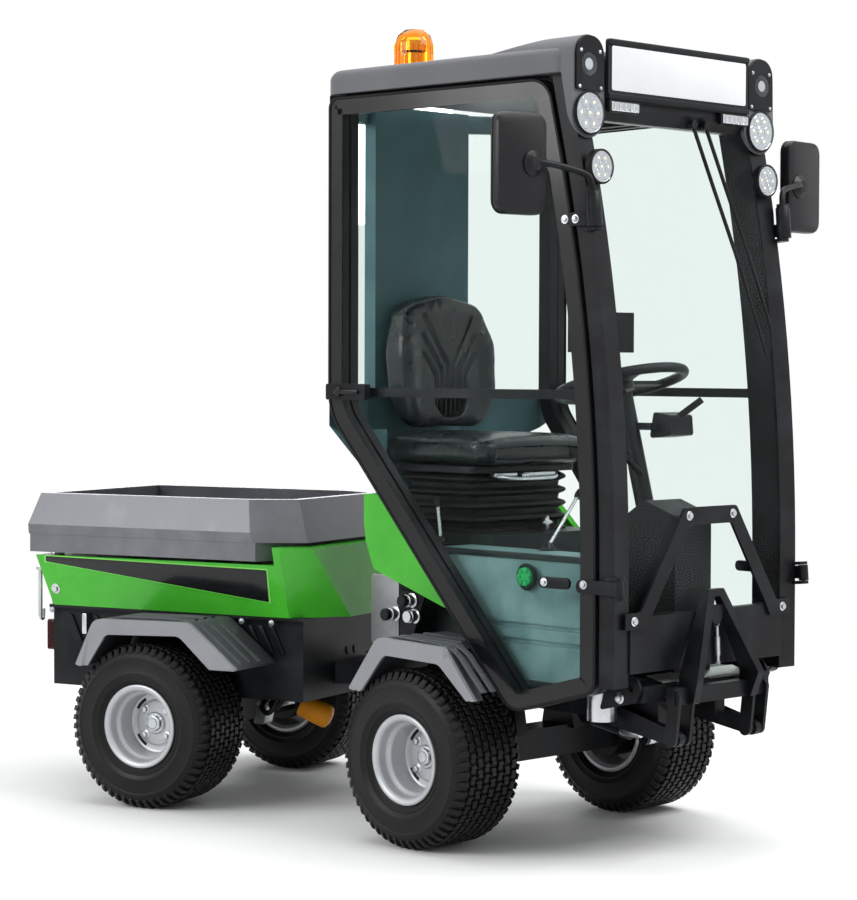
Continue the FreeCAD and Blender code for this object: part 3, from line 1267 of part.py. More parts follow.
def build():
    """Every node of the vehicle, in the modelling frame."""
    nodes = {}
    nodes["front_chassis"] = joined([front_chassis(), front_beam(), lift_base_bracket(), steer_bracket()])
    nodes["front_axle"] = axle(RAIL_TOP - RAIL_HEIGHT, RAIL_Y)
    nodes["cab_floor"] = joined([cab_floor(), step_box()])
    nodes["seat_platform"] = seat_platform()
    nodes["tank"] = tank()
    nodes["front_panel"] = front_panel()
    nodes["screen_guard"] = screen_guard()
    nodes["side_frame_right"] = joined([joined([pillar(), side_frame()]).cut(hinge_recess())] + hinge_ears())
    nodes["side_frame_left"] = mirrored(nodes["side_frame_right"])
    nodes["rear_wall"] = joined([rear_wall(), rear_column(), both_sides(rear_header())])
    nodes["cab_glass"] = Part.makeCompound([windscreen(), both_sides(corner_glass())])
    nodes["roof"] = roof()
    nodes["roof_header"] = Part.makeCompound([roof_header(), both_sides(lamp_fascia())])
    nodes["number_plate"] = number_plate()
    nodes["lamps"] = Part.makeCompound([round_lamps(), side_lamps(), strobes()])
    nodes["beacon"] = beacon()
    nodes["wipers"] = wipers()
    nodes["seat_base"] = seat_base()
    nodes["seat_cushion"] = seat_cushion()
    nodes["seat_back"] = seat_back()
    nodes["console"] = console()
    nodes["steering_column"] = joined([steering_column()] + controls()).cut(nodes["console"])
    nodes["front_fenders"] = both_sides(fender())
    tie_right, tie_left = cover_ties()
    nodes["cab_cover"] = Part.makeCompound([
        joined([side_cover(), tie_right]), joined([mirrored(side_cover()), tie_left]),
    ])
    nodes["oil_couplings"] = Part.makeCompound([oil_couplings(), underside_filter()])
    nodes["steering_wheel"] = steering_wheel()
    nodes["lift_arms"] = lift_arms()
    nodes["lift_frame"] = lift_frame()
    nodes["lift_barrel"], nodes["lift_rod"] = lift_cylinder()
    nodes["door_frame_right"] = joined([door_frame(), door_bar()])
    nodes["door_glass_right"] = door_glass()
    nodes["door_fittings_right"] = door_fittings()
    nodes["mirror_right"] = mirror()
    for part in ("door_frame", "door_glass", "door_fittings", "mirror"):
        nodes[part + "_left"] = mirrored(nodes[part + "_right"])
    nodes["rear_chassis"] = joined([rear_chassis(), bed_hinge(), tow_hitch()])
    nodes["rear_axle"] = rear_axle()
    nodes["engine_block"] = engine_block()
    nodes["body_shell"] = body_shell()
    nodes["rear_fenders"] = both_sides(rear_fender())
    nodes["tail_lamps"] = tail_lamps()
    nodes["load_bed"] = load_bed()
    nodes["tip_barrel"], nodes["tip_rod"] = tip_cylinder()
    for name in ("rear_chassis", "rear_axle", "engine_block", "body_shell", "rear_fenders", "tail_lamps",
                 "load_bed", "tip_barrel", "tip_rod"):
        nodes[name] = turned_rear(nodes[name])
    nodes["steer_barrel"], nodes["steer_rod"] = steer_cylinder()
    nodes.update(wheel_pieces())
    return nodes


NODES = build()
BOUNDS = Part.makeCompound(list(NODES.values())).optimalBoundingBox(False, False)
CENTRE = V((BOUNDS.XMin + BOUNDS.XMax) / 2, (BOUNDS.YMin + BOUNDS.YMax) / 2, BOUNDS.ZMin)
os.makedirs("parts", exist_ok=True)
for name, shape in NODES.items():
    shape.translate(CENTRE * -1)
    shape.exportStep("parts/" + name + ".step")
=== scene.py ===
import math
import bmesh
import bpy
from mathutils import Matrix, Vector


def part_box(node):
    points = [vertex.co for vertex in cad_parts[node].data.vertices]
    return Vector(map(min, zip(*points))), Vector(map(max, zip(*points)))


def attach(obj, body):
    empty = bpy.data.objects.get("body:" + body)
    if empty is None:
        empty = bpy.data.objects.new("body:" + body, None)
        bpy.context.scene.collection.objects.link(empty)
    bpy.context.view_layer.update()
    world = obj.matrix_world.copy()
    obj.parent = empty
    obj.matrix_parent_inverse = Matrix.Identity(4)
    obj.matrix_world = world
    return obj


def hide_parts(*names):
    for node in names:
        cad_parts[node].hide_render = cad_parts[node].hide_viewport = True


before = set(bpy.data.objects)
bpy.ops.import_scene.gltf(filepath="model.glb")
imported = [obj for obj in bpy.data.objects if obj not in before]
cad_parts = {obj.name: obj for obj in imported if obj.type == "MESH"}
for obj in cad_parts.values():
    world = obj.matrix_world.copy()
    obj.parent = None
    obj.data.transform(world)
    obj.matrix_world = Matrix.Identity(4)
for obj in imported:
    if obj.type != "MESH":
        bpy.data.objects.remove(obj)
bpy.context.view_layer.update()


# The vehicle's own axes. Pieces are made in millimetres from the middle of the front axle on the floor,
# with X forward, Y to the left and Z up. The rear unit is made straight behind, then turned at the pivot.
def middle(node):
    """Middle of a CAD node's box, in metres."""
    low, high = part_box(node)
    return (Vector(low) + Vector(high)) / 2


axle_middle = (middle("rim_front_left") + middle("rim_front_right")) / 2
FRONT = Matrix.Translation((axle_middle.x, axle_middle.y, 0)) @ Matrix.Scale(0.001, 4)
PIVOT_X = -578
PARKED_TURN = 18
REAR = (FRONT @ Matrix.Translation((PIVOT_X, 0, 0)) @ Matrix.Rotation(math.radians(PARKED_TURN), 4, "Z")
        @ Matrix.Translation((-PIVOT_X, 0, 0)))
ACROSS = Matrix.Scale(-1, 4, (0, 1, 0))
SIDES = (("right", Matrix()), ("left", ACROSS))


# The camera stands ahead and to the right of the cab at chest height, with a long lens, as the photograph
# was taken: the lens is given for a picture whose longer side is its height.
EYE = (4518, -4775, 1231)
EYE_YAW = 45.93
EYE_PITCH = 1.93
EYE_ROLL = 0.18
PICTURE_HEIGHT = 900
EYE_REACH = 2455
eye_data = bpy.data.cameras.new("eye")
eye = bpy.data.objects.new("eye", eye_data)
bpy.context.scene.collection.objects.link(eye)
eye_data.lens = 36 * EYE_REACH / PICTURE_HEIGHT
eye_data.clip_end = 100
eye.matrix_world = (Matrix.Translation(FRONT @ Vector(EYE)) @ Matrix.Rotation(math.radians(EYE_YAW), 4, "Z")
                    @ Matrix.Rotation(math.radians(90 - EYE_PITCH), 4, "X")
                    @ Matrix.Rotation(math.radians(EYE_ROLL), 4, "Z"))
bpy.context.scene.camera = eye
bpy.context.scene.view_settings.view_transform = "Standard"


# Colours are written as sRGB hex and turned to linear here. Each finish is a set of nodes, added one by one
# to a new material.
def colour(code):
    """Linear colour from an sRGB hex code."""
    parts = [int(code[i:i + 2], 16) / 255 for i in (1, 3, 5)]
    return [c / 12.92 if c <= 0.04045 else ((c + 0.055) / 1.055) ** 2.4 for c in parts] + [1.0]


def add(tree, kind, values=None, links=None, ramp=None, **settings):
    """Adds a node with its settings, its input values, its ramp's stops, and links from other sockets."""
    made = tree.nodes.new(kind)
    for name, value in settings.items():
        setattr(made, name, value)
    for name, value in (values or {}).items():
        made.inputs[name].default_value = value
    for name, source in (links or {}).items():
        tree.links.new(source, made.inputs[name])
    if ramp:
        for stop, (place, shade) in zip(made.color_ramp.elements, ramp):
            stop.position = place
            stop.color = colour(shade)
    return made


def bare_finish(name):
    """New material, with its node tree and its shader."""
    finish = bpy.data.materials.new(name)
    finish.use_nodes = True
    return finish, finish.node_tree, finish.node_tree.nodes["Principled BSDF"]


# The floor and the air round the vehicle: a pale studio floor that keeps the shadow and fades out well away
# from it, and a white backdrop that the camera, the gloss and the glass see. The light is a dimmer grey.
FLOOR_CLEAR = 2.3
FLOOR_GONE = 4.4


def studio_floor():
    finish, tree, shader = bare_finish("pale_studio_floor")
    shader.inputs["Base Color"].default_value = colour("#f4f4f4")
    shader.inputs["Roughness"].default_value = 0.9
    shader.inputs["Specular IOR Level"].default_value = 0.1
    where = add(tree, "ShaderNodeTexCoord")
    reach = add(tree, "ShaderNodeVectorMath", operation="LENGTH", links={0: where.outputs["Object"]})
    fade = add(tree, "ShaderNodeMapRange", values={"From Min": FLOOR_CLEAR, "From Max": FLOOR_GONE},
               interpolation_type="SMOOTHSTEP", links={"Value": reach.outputs["Value"]})
    gone = add(tree, "ShaderNodeBsdfTransparent")
    mixed = add(tree, "ShaderNodeMixShader", links={0: fade.outputs["Result"], 1: shader.outputs["BSDF"],
                                                    2: gone.outputs["BSDF"]})
    tree.links.new(mixed.outputs["Shader"], tree.nodes["Material Output"].inputs["Surface"])
    return finish


floor_shape = bmesh.new()
bmesh.ops.create_circle(floor_shape, cap_ends=True, segments=64, radius=FLOOR_GONE)
floor_mesh = bpy.data.meshes.new("floor")
floor_shape.to_mesh(floor_mesh)
floor_shape.free()
floor_mesh.materials.append(studio_floor())
floor = bpy.data.objects.new("floor", floor_mesh)
bpy.context.scene.collection.objects.link(floor)

world = bpy.data.worlds.new("studio")
bpy.context.scene.world = world
world.use_nodes = True
air = world.node_tree
air.nodes.clear()
rays = add(air, "ShaderNodeLightPath")
seen = add(air, "ShaderNodeMath", operation="MAXIMUM",
           links={0: rays.outputs["Is Camera Ray"], 1: rays.outputs["Is Glossy Ray"]})
through = add(air, "ShaderNodeMath", operation="MAXIMUM",
              links={0: seen.outputs[0], 1: rays.outputs["Is Transmission Ray"]})
dim = add(air, "ShaderNodeBackground", values={"Color": colour("#f6f8fa"), "Strength": 0.55})
bright = add(air, "ShaderNodeBackground", values={"Color": colour("#ffffff"), "Strength": 1.0})
mixed = add(air, "ShaderNodeMixShader",
            links={0: through.outputs[0], 1: dim.outputs[0], 2: bright.outputs[0]})
add(air, "ShaderNodeOutputWorld", links={"Surface": mixed.outputs[0]})


def soft_lamp(name, place, target, width, height, watts):
    """Softbox at a place in metres, facing a target."""
    data = bpy.data.lights.new(name, "AREA")
    data.shape = "RECTANGLE"
    data.size = width
    data.size_y = height
    data.energy = watts
    lamp = bpy.data.objects.new(name, data)
    bpy.context.scene.collection.objects.link(lamp)
    lamp.location = place
    lamp.rotation_euler = (Vector(target) - Vector(place)).to_track_quat("-Z", "Y").to_euler()


soft_lamp("key_softbox", (3.6, 1.2, 4.6), (0.2, 0, 0.8), 3.2, 2.4, 190)
soft_lamp("side_softbox", (-1.2, -5.2, 3.2), (-0.3, 0, 0.7), 3.6, 2.2, 150)
soft_lamp("top_softbox", (-0.4, 0.4, 5.4), (0, 0, 0.5), 4.5, 3.5, 120)
soft_lamp("back_softbox", (-4.6, 3.0, 3.0), (0, 0, 0.9), 2.6, 2.2, 90)


# How every new piece is finished: placed on the vehicle, shaded smooth up to its creases, given its
# material and fixed to the body that carries it.
SHARP_ANGLE = 38


def settle(name, shape, place, body, finish, creases=SHARP_ANGLE):
    """Makes the object of a mesh modelled in millimetres and fixes it to a body."""
    bmesh.ops.transform(shape, matrix=place, verts=shape.verts)
    if place.determinant() < 0:
        bmesh.ops.reverse_faces(shape, faces=shape.faces)
    for face in shape.faces:
        face.smooth = True
    mesh = bpy.data.meshes.new(name)
    shape.to_mesh(mesh)
    shape.free()
    mesh.set_sharp_from_angle(angle=math.radians(creases))
    finishes = finish if isinstance(finish, list) else [finish]
    for one in finishes:
        mesh.materials.append(one)
    made = bpy.data.objects.new(name, mesh)
    bpy.context.scene.collection.objects.link(made)
    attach(made, body)
    return made


def dress(finish, *names):
    """Gives CAD nodes their finish."""
    for name in names:
        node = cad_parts[name]
        node.data.materials.clear()
        node.data.materials.append(finish)


# Black powder-coated steel of the frame, axles and brackets: baked satin paint, slightly greyer and rougher
# where it is dulled. Its orange peel of about 1.5 mm is drawn twice as coarse so that it shows. The specular
# level of paints and plastics is low, so that the broad softboxes don't turn the blacks grey.
DULL_SPECULAR = 0.15


def clouded(name, cloud_values, ramp, smooth, dull):
    """Material whose tone and roughness drift in a soft cloud over the piece, and where the pattern is read."""
    finish, tree, shader = bare_finish(name)
    where = add(tree, "ShaderNodeTexCoord").outputs["Object"]
    cloud = add(tree, "ShaderNodeTexNoise", values=cloud_values, links={"Vector": where})
    tone = add(tree, "ShaderNodeValToRGB", links={"Fac": cloud.outputs["Fac"]}, ramp=ramp)
    sheen = add(tree, "ShaderNodeMapRange",
                values={"From Min": 0.3, "From Max": 0.7, "To Min": smooth, "To Max": dull},
                links={"Value": cloud.outputs["Fac"]})
    tree.links.new(tone.outputs["Color"], shader.inputs["Base Color"])
    tree.links.new(sheen.outputs["Result"], shader.inputs["Roughness"])
    return finish, tree, shader, where


def coated_steel(name, code, dull_code, rough, peel_mm=1.5, metal=0.0, wear=0.25):
    finish, tree, shader, where = clouded(name, {"Scale": 9.0, "Detail": 6.0, "Roughness": 0.6},
                                          ((0.42, code), (0.75, dull_code)), rough - 0.06, rough + wear * 0.4)
    peel = add(tree, "ShaderNodeTexNoise", values={"Scale": 1000 / peel_mm / 2, "Detail": 1.0},
               links={"Vector": where})
    relief = add(tree, "ShaderNodeBump", values={"Strength": 0.12, "Distance": 0.0004},
                 links={"Height": peel.outputs["Fac"]})
    tree.links.new(relief.outputs["Normal"], shader.inputs["Normal"])
    shader.inputs["Metallic"].default_value = metal
    if not metal:
        shader.inputs["Specular IOR Level"].default_value = DULL_SPECULAR
    return finish


black_coat = coated_steel("black_powder_coated_steel", "#141517", "#24262a", 0.34)
dress(black_coat, "front_chassis", "front_axle", "rear_chassis", "rear_axle", "screen_guard", "lift_arms",
      "lift_frame", "lift_barrel", "tip_barrel", "steer_barrel", "side_frame_right", "side_frame_left",
      "door_frame_right", "door_frame_left", "door_fittings_right", "door_fittings_left", "front_panel",
      "steering_column", "wipers", "roof_header")
teal_coat = coated_steel("dark_teal_painted_sheet", "#3f5a5f", "#4a676b", 0.38, 2.0)
dress(teal_coat, "rear_wall")
engine_coat = coated_steel("engine_enamel", "#2a2c2f", "#3a3c40", 0.5, 2.5)
dress(engine_coat, "engine_block")

# The load bed and the green covers: baked polyester paint. The bed is satin graphite with a slight metallic
# sheen, the covers a bright green under a thin gloss coat.
bed_paint = coated_steel("graphite_baked_paint", "#68696e", "#77787d", 0.38, 1.8, metal=0.35)
dress(bed_paint, "load_bed")


def gloss_enamel(name, code, deep_code):
    finish = coated_steel(name, code, deep_code, 0.26, 2.2)
    shader = finish.node_tree.nodes["Principled BSDF"]
    shader.inputs["Coat Weight"].default_value = 0.4
    shader.inputs["Coat Roughness"].default_value = 0.12
    return finish


green_enamel = gloss_enamel("green_gloss_enamel", "#46b52f", "#3da628")
dress(green_enamel, "body_shell", "cab_cover")


# Moulded plastics: acrylonitrile blend with a fine spark-eroded grain of about half a millimetre, drawn
# twice as coarse so that it shows, matt on the faces and a little shinier where it is touched.
def moulded_plastic(name, code, worn_code, rough, grain_mm=1.0, depth=0.15, specular=DULL_SPECULAR):
    finish, tree, shader, where = clouded(name, {"Scale": 7.0, "Detail": 5.0, "Roughness": 0.55},
                                          ((0.35, code), (0.8, worn_code)), rough - 0.05, rough + 0.08)
    grain = add(tree, "ShaderNodeTexVoronoi", values={"Scale": 1000 / grain_mm}, links={"Vector": where})
    relief = add(tree, "ShaderNodeBump", values={"Strength": depth, "Distance": 0.00015},
                 links={"Height": grain.outputs["Distance"]})
    tree.links.new(relief.outputs["Normal"], shader.inputs["Normal"])
    shader.inputs["Specular IOR Level"].default_value = specular
    return finish


roof_plastic = moulded_plastic("dark_grey_grained_abs", "#66676a", "#6f7073", 0.5, 1.4)
dress(roof_plastic, "roof")
black_plastic = moulded_plastic("black_moulded_abs", "#17191b", "#212426", 0.45)
dress(black_plastic, "console", "steering_wheel")
tank_plastic = moulded_plastic("teal_rotomoulded_polyethylene", "#496465", "#718e8d", 0.4, 2.4, 0.15)
dress(tank_plastic, "tank")
shelf_coat = coated_steel("dark_olive_painted_sheet", "#1d2425", "#2a3130", 0.4, 2.0)
dress(shelf_coat, "cab_floor", "seat_platform")


# Toughened cab glass, clear, smooth and faintly green. Its index is set lower than real glass has, so that the
# pale room's reflection doesn't veil the seat, and its alpha lets most of the lamps' light through to the cab.
PANE_SHADE = 0.12


def clear_pane(name, code, index, rough=0.0):
    finish, tree, shader = bare_finish(name)
    rays = add(tree, "ShaderNodeLightPath")
    shade = add(tree, "ShaderNodeMapRange", values={"To Min": 1.0, "To Max": PANE_SHADE},
                links={"Value": rays.outputs["Is Shadow Ray"]})
    tree.links.new(shade.outputs["Result"], shader.inputs["Alpha"])
    shader.inputs["Base Color"].default_value = colour(code)
    shader.inputs["Roughness"].default_value = rough
    shader.inputs["IOR"].default_value = index
    shader.inputs["Transmission Weight"].default_value = 1.0
    return finish


cab_pane = clear_pane("green_tinted_toughened_glass", "#f3f9f7", 1.08)
dress(cab_pane, "cab_glass", "door_glass_right", "door_glass_left")
lamp_pane = clear_pane("clear_polycarbonate", "#f4f6f8", 1.3)
amber_pane = clear_pane("amber_polycarbonate", "#ff9a1a", 1.3, 0.05)
red_pane = clear_pane("red_acrylic", "#c8181c", 1.3, 0.08)
dress(red_pane, "tail_lamps")

# Zinc-plated steel of couplings, rods and bolts: bright, faintly streaked, with a soft satin.
zinc = coated_steel("bright_zinc_plate", "#c9cccf", "#a9adb1", 0.28, 1.2, metal=1.0)
dress(zinc, "oil_couplings", "lift_rod", "tip_rod", "steer_rod")


# Turf tyres: bias-ply rubber carcass moulded with low ribs on the sidewall, seven staggered rows of
# chamfered S-shaped blocks round the tread and a row of lugs on each shoulder.
def spun(profile, steps, closed=True):
    """Shape of (radius, along) points in millimetres turned round the Y axis."""
    shape = bmesh.new()
    points = [shape.verts.new((radius, along, 0)) for radius, along in profile]
    edges = [shape.edges.new(pair) for pair in zip(points, points[1:])]
    if closed:
        edges.append(shape.edges.new((points[-1], points[0])))
    bmesh.ops.spin(shape, geom=points + edges, cent=(0, 0, 0), axis=(0, 1, 0), dvec=(0, 0, 0),
                   angle=math.tau, steps=steps, use_merge=True)
    bmesh.ops.remove_doubles(shape, verts=shape.verts, dist=0.01)
    bmesh.ops.recalc_face_normals(shape, faces=shape.faces)
    return shape


def points_of(geometry):
    """The points among new points, edges and faces."""
    return [part for part in geometry if isinstance(part, bmesh.types.BMVert)]


def rounded(shape, edges, offset, segments=2, clamp=True):
    """Rounds edges off."""
    bmesh.ops.bevel(shape, geom=edges, offset=offset, segments=segments, profile=0.5, affect="EDGES",
                    material=-1, clamp_overlap=clamp)


def slab(outline, low, high, soften=0.0, across="Y", corners=0.0):
    """Flat outline thickened between two levels across an axis, with rounded corners and softened edges."""
    shape = bmesh.new()
    spot = {"X": lambda a, b: (low, a, b), "Y": lambda a, b: (a, low, b), "Z": lambda a, b: (a, b, low)}[across]
    face = shape.faces.new([shape.verts.new(spot(a, b)) for a, b in outline])
    grown = bmesh.ops.extrude_face_region(shape, geom=[face])["geom"]
    step = Vector([high - low if across == axis else 0 for axis in "XYZ"])
    bmesh.ops.translate(shape, verts=points_of(grown), vec=step)
    bmesh.ops.recalc_face_normals(shape, faces=shape.faces)
    if corners:
        along = step.normalized()
        rounded(shape, [e for e in shape.edges
                        if abs((e.verts[0].co - e.verts[1].co).normalized().dot(along)) > 0.99], corners, 5)
    if soften:
        rounded(shape, [e for e in shape.edges if abs((e.verts[0].co - e.verts[1].co).dot(step)) < 1e-4
                        and e.calc_face_angle(0) > 0.9], soften)
    return shape


def gathered(*shapes):
    """One shape from several; the others are used up."""
    whole = shapes[0]
    for shape in shapes[1:]:
        carrier = bpy.data.meshes.new("carrier")
        shape.to_mesh(carrier)
        shape.free()
        whole.from_mesh(carrier)
        bpy.data.meshes.remove(carrier)
    return whole


def round_axle(shape, count):
    """Repeats a shape evenly round the Y axis."""
    bmesh.ops.spin(shape, geom=shape.verts[:] + shape.edges[:] + shape.faces[:], cent=(0, 0, 0), axis=(0, 1, 0),
                   dvec=(0, 0, 0), angle=math.tau * (count - 1) / count, steps=count - 1, use_duplicate=True)
    return shape


TREAD_TOP = 229.6
TREAD_FLOOR = 221.0
TREAD_ROWS = 7
ROW_PITCH = 24
BLOCKS_ROUND = 52
LUGS_ROUND = 54
BLOCK = [(-12, -8), (-4, -10), (0, -6), (10, -8), (12, 1), (11, 9), (4, 10), (0, 6), (-10, 8), (-12, -1)]
LUG = [(86, 228), (96, 224), (108, 207), (104, 199), (86, 214)]
SIDEWALL = [(102.5, 88), (118, 94), (124, 99.5), (129, 104), (131, 107.6), (134, 108), (136, 106.5), (146, 111),
            (148, 112.6), (150.5, 112.6), (152, 111.8), (186, 111.6), (188, 112.8), (191, 112.8), (193, 110.8),
            (203, 107), (212, 99), (TREAD_FLOOR - 1, 88), (TREAD_FLOOR, 80)]


def turf_tyre():
    carcass = spun(SIDEWALL + [(radius, -along) for radius, along in reversed(SIDEWALL)], 96)
    pieces = [carcass]
    for row in range(TREAD_ROWS):
        turn = 1 if row % 2 else -1
        across = (row - (TREAD_ROWS - 1) / 2) * ROW_PITCH
        block = slab([(a, b * turn) for a, b in BLOCK][::turn], TREAD_FLOOR - 2, TREAD_TOP, 0, "Z")
        crown = [face for face in block.faces if face.normal.z > 0.9]
        bmesh.ops.inset_region(block, faces=crown, thickness=1.6, depth=0.0)
        flat = {v for face in crown for v in face.verts}
        bmesh.ops.translate(block, vec=(0, 0, -1.8), verts=[v for v in block.verts
                                                            if v.co.z > TREAD_TOP - 0.1 and v not in flat])
        bmesh.ops.translate(block, vec=(0, across, 0), verts=block.verts)
        bmesh.ops.rotate(block, verts=block.verts, cent=(0, 0, 0),
                         matrix=Matrix.Rotation(math.pi / BLOCKS_ROUND * (row % 2), 3, "Y"))
        pieces.append(round_axle(block, BLOCKS_ROUND))
    for side in (-1, 1):
        lug = slab([(side * a, b) for a, b in LUG], -7.5, 7.5, 1.2, "X")
        bmesh.ops.rotate(lug, verts=lug.verts, cent=(0, side * 97, 0),
                         matrix=Matrix.Rotation(side * 0.25, 3, "Z"))
        pieces.append(round_axle(lug, LUGS_ROUND))
    return gathered(*pieces)


CORNERS = ("front_left", "front_right", "rear_left", "rear_right")
TRACK = 389
WHEELBASE = 1100
WHEEL_RADIUS = 230
WHEEL_PLACE = {}
for corner in CORNERS:
    unit, back = (FRONT, 0) if "front" in corner else (REAR, -WHEELBASE)
    side = 1 if "left" in corner else -1
    facing = Matrix.Rotation(0 if side > 0 else math.pi, 4, "Z")
    WHEEL_PLACE[corner] = unit @ Matrix.Translation((back, side * TRACK, WHEEL_RADIUS)) @ facing
rubber = moulded_plastic("black_tyre_rubber", "#0d0d0e", "#171718", 0.42, 2.5, 0.25, 0.22)
tyre_shape = turf_tyre()
for corner in CORNERS:
    tyre = settle("turf_tyre_" + corner, tyre_shape.copy(), WHEEL_PLACE[corner], "wheel_" + corner, rubber,
                  30)
    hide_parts("tyre_" + corner)
tyre_shape.free()


# Wheel rims: two steel pressings in silver paint, with a rolled flange, a bead seat, a deep well and a disc
# set far in, held by four hexagon bolts round the hub's nut. The hand holes are not cut: thin dark insets on
# the disc stand for them, as painted shade where the view through each hole is dark.
RIM_LOOP = [
    (22.3, 1), (22.3, 14), (57, 14), (62, 12.5), (66, 9), (78, 9), (83, 12), (85.5, 22), (85.5, 56), (87, 61),
    (90, 64), (95.5, 68), (97.4, 72), (97.6, 88), (99, 93), (102, 97), (107, 100), (112, 101), (115.5, 99.6),
    (117, 96.5), (115.5, 93.6), (109, 92), (103, 89.5), (101, 84), (101, 72), (92, 60), (90, 54), (90, 16),
    (93, 8), (101, 0), (101, -86), (103, -90), (115, -93), (117, -96.5), (112, -101), (106, -99.5),
    (97.6, -88), (97.4, -2), (86, 1),
]
BOLT_CIRCLE = 50.8


def hexagon(radius, height, chamfer=1.2):
    """Six-sided head standing on the XZ plane, along Y."""
    head = bmesh.new()
    bmesh.ops.create_cone(head, cap_ends=True, segments=6, radius1=radius, radius2=radius, depth=height)
    bmesh.ops.translate(head, verts=head.verts, vec=(0, 0, height / 2))
    top = [e for e in head.edges if all(v.co.z > height - 0.01 for v in e.verts)]
    rounded(head, top, chamfer, clamp=False)
    bmesh.ops.rotate(head, verts=head.verts, cent=(0, 0, 0), matrix=Matrix.Rotation(-math.pi / 2, 3, "X"))
    return head


def bolt(radius=8.0, height=5.5):
    """Hexagon bolt head on a washer, standing on the XZ plane along Y."""
    washer = spun([(0, 0), (radius * 1.45, 0), (radius * 1.45, 1.0), (radius * 1.35, 1.6), (0, 1.6)], 20, False)
    head = hexagon(radius, height)
    bmesh.ops.translate(head, verts=head.verts, vec=(0, 1.5, 0))
    return gathered(washer, head)


def moved(shape, vec, turn=None, axis="Z"):
    """Turns a shape about an axis at the origin and shifts it."""
    if turn:
        bmesh.ops.rotate(shape, verts=shape.verts, cent=(0, 0, 0),
                         matrix=Matrix.Rotation(math.radians(turn), 3, axis))
    bmesh.ops.translate(shape, verts=shape.verts, vec=vec)
    return shape


def plated(name, shape, place=FRONT, body="front_unit"):
    """Settles a piece in bright zinc plate."""
    settle(name, shape, place, body, zinc)


rim_paint = coated_steel("silver_painted_steel", "#b4b6b9", "#c2c4c6", 0.36, 1.6, metal=0.35)
# Dark finish of the hand-hole insets: painted shade standing for the dark view through the holes.
painted_hole_shade = coated_steel("hand_hole_painted_shade", "#1b1c1e", "#242527", 0.6, 2.0)
for corner in CORNERS:
    rim = settle("pressed_rim_" + corner, spun(RIM_LOOP, 80), WHEEL_PLACE[corner], "wheel_" + corner, rim_paint,
                 32)
    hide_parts("rim_" + corner)
    fasteners = []
    for number in range(4):
        turn = math.radians(45 + 90 * number)
        fasteners.append(moved(bolt(9.2, 9), (BOLT_CIRCLE * math.cos(turn), 14, BOLT_CIRCLE * math.sin(turn))))
    fasteners.append(spun([(0, 14), (31, 14), (31, 18), (28, 21), (0, 21)], 40, False))
    fasteners.append(moved(hexagon(24, 9, 2.5), (0, 21, 0)))
    fasteners.append(spun([(0, 29.5), (15, 29.5), (13.5, 32), (0, 32.8)], 24, False))
    plated("hub_nut_and_bolts_" + corner, gathered(*fasteners), WHEEL_PLACE[corner], "wheel_" + corner)
    # Hand holes: thin arcs laid on the disc in the painted-shade finish, in place of openings.
    holes = []
    for number in range(4):
        hole = slab([(69, 8.7), (78, 8.7), (78, 9.5), (69, 9.5)], -0.1, 0.1, 0, "Z")
        start = [face for face in hole.faces if face.normal.z > 0.9]
        start += [e for f in start for e in f.edges] + [v for f in start for v in f.verts]
        bmesh.ops.spin(hole, geom=start, cent=(0, 0, 0), axis=(0, 1, 0), dvec=(0, 0, 0), angle=0.55, steps=8)
        bmesh.ops.recalc_face_normals(hole, faces=hole.faces)
        holes.append(moved(hole, (0, 0, 0), 30 + 90 * number, "Y"))
    settle("hand_hole_shade_" + corner, gathered(*holes), WHEEL_PLACE[corner], "wheel_" + corner, painted_hole_shade)


# Fenders: moulded grey polypropylene, bent over each wheel, with a paler rolled lip along the outer edge and
# rounded ribs, two in front and three behind, that run over the top and down the front slope.
def smooth_line(points):
    """Wire in millimetres that rounds the corners of its control points."""
    line = bpy.data.curves.new("line", "CURVE")
    line.dimensions = "3D"
    spline = line.splines.new("NURBS")
    if len(points) == 2:
        points = [points[0], [(a + b) / 2 for a, b in zip(*points)], points[1]]
    spline.points.add(len(points) - 1)
    for spot, point in zip(spline.points, points):
        spot.co = (*point, 1)
    spline.order_u = 3
    spline.use_endpoint_u = True
    return line


def wire_of(line):
    """Shape of a curve; the curve is used up."""
    carrier = bpy.data.objects.new("carrier", line)
    mesh = bpy.data.meshes.new_from_object(carrier)
    shape = bmesh.new()
    shape.from_mesh(mesh)
    bpy.data.objects.remove(carrier)
    bpy.data.curves.remove(line)
    bpy.data.meshes.remove(mesh)
    return shape


def tube(points, radius, sides=2):
    """Round bar or hose along a smooth line through its control points, in millimetres."""
    line = smooth_line(points)
    line.bevel_depth = radius
    line.bevel_resolution = sides
    line.use_fill_caps = True
    shape = wire_of(line)
    bmesh.ops.remove_doubles(shape, verts=shape.verts, dist=0.01)
    bmesh.ops.recalc_face_normals(shape, faces=shape.faces)
    return shape


def bent_sheet(points, low, high, thick, soften=1.0):
    """Sheet bent along a line in the XZ plane, between two Y levels."""
    sheet = wire_of(smooth_line([(x, low, z) for x, z in points]))
    grown = bmesh.ops.extrude_edge_only(sheet, edges=sheet.edges[:])["geom"]
    bmesh.ops.translate(sheet, vec=(0, high - low, 0), verts=points_of(grown))
    bmesh.ops.recalc_face_normals(sheet, faces=sheet.faces)
    if sum(face.normal.z for face in sheet.faces) < 0:
        bmesh.ops.reverse_faces(sheet, faces=sheet.faces)
    bmesh.ops.solidify(sheet, geom=sheet.faces[:], thickness=thick)
    bmesh.ops.recalc_face_normals(sheet, faces=sheet.faces)
    rounded(sheet, [e for e in sheet.edges if e.calc_face_angle(0) > 1.2], soften)
    return sheet


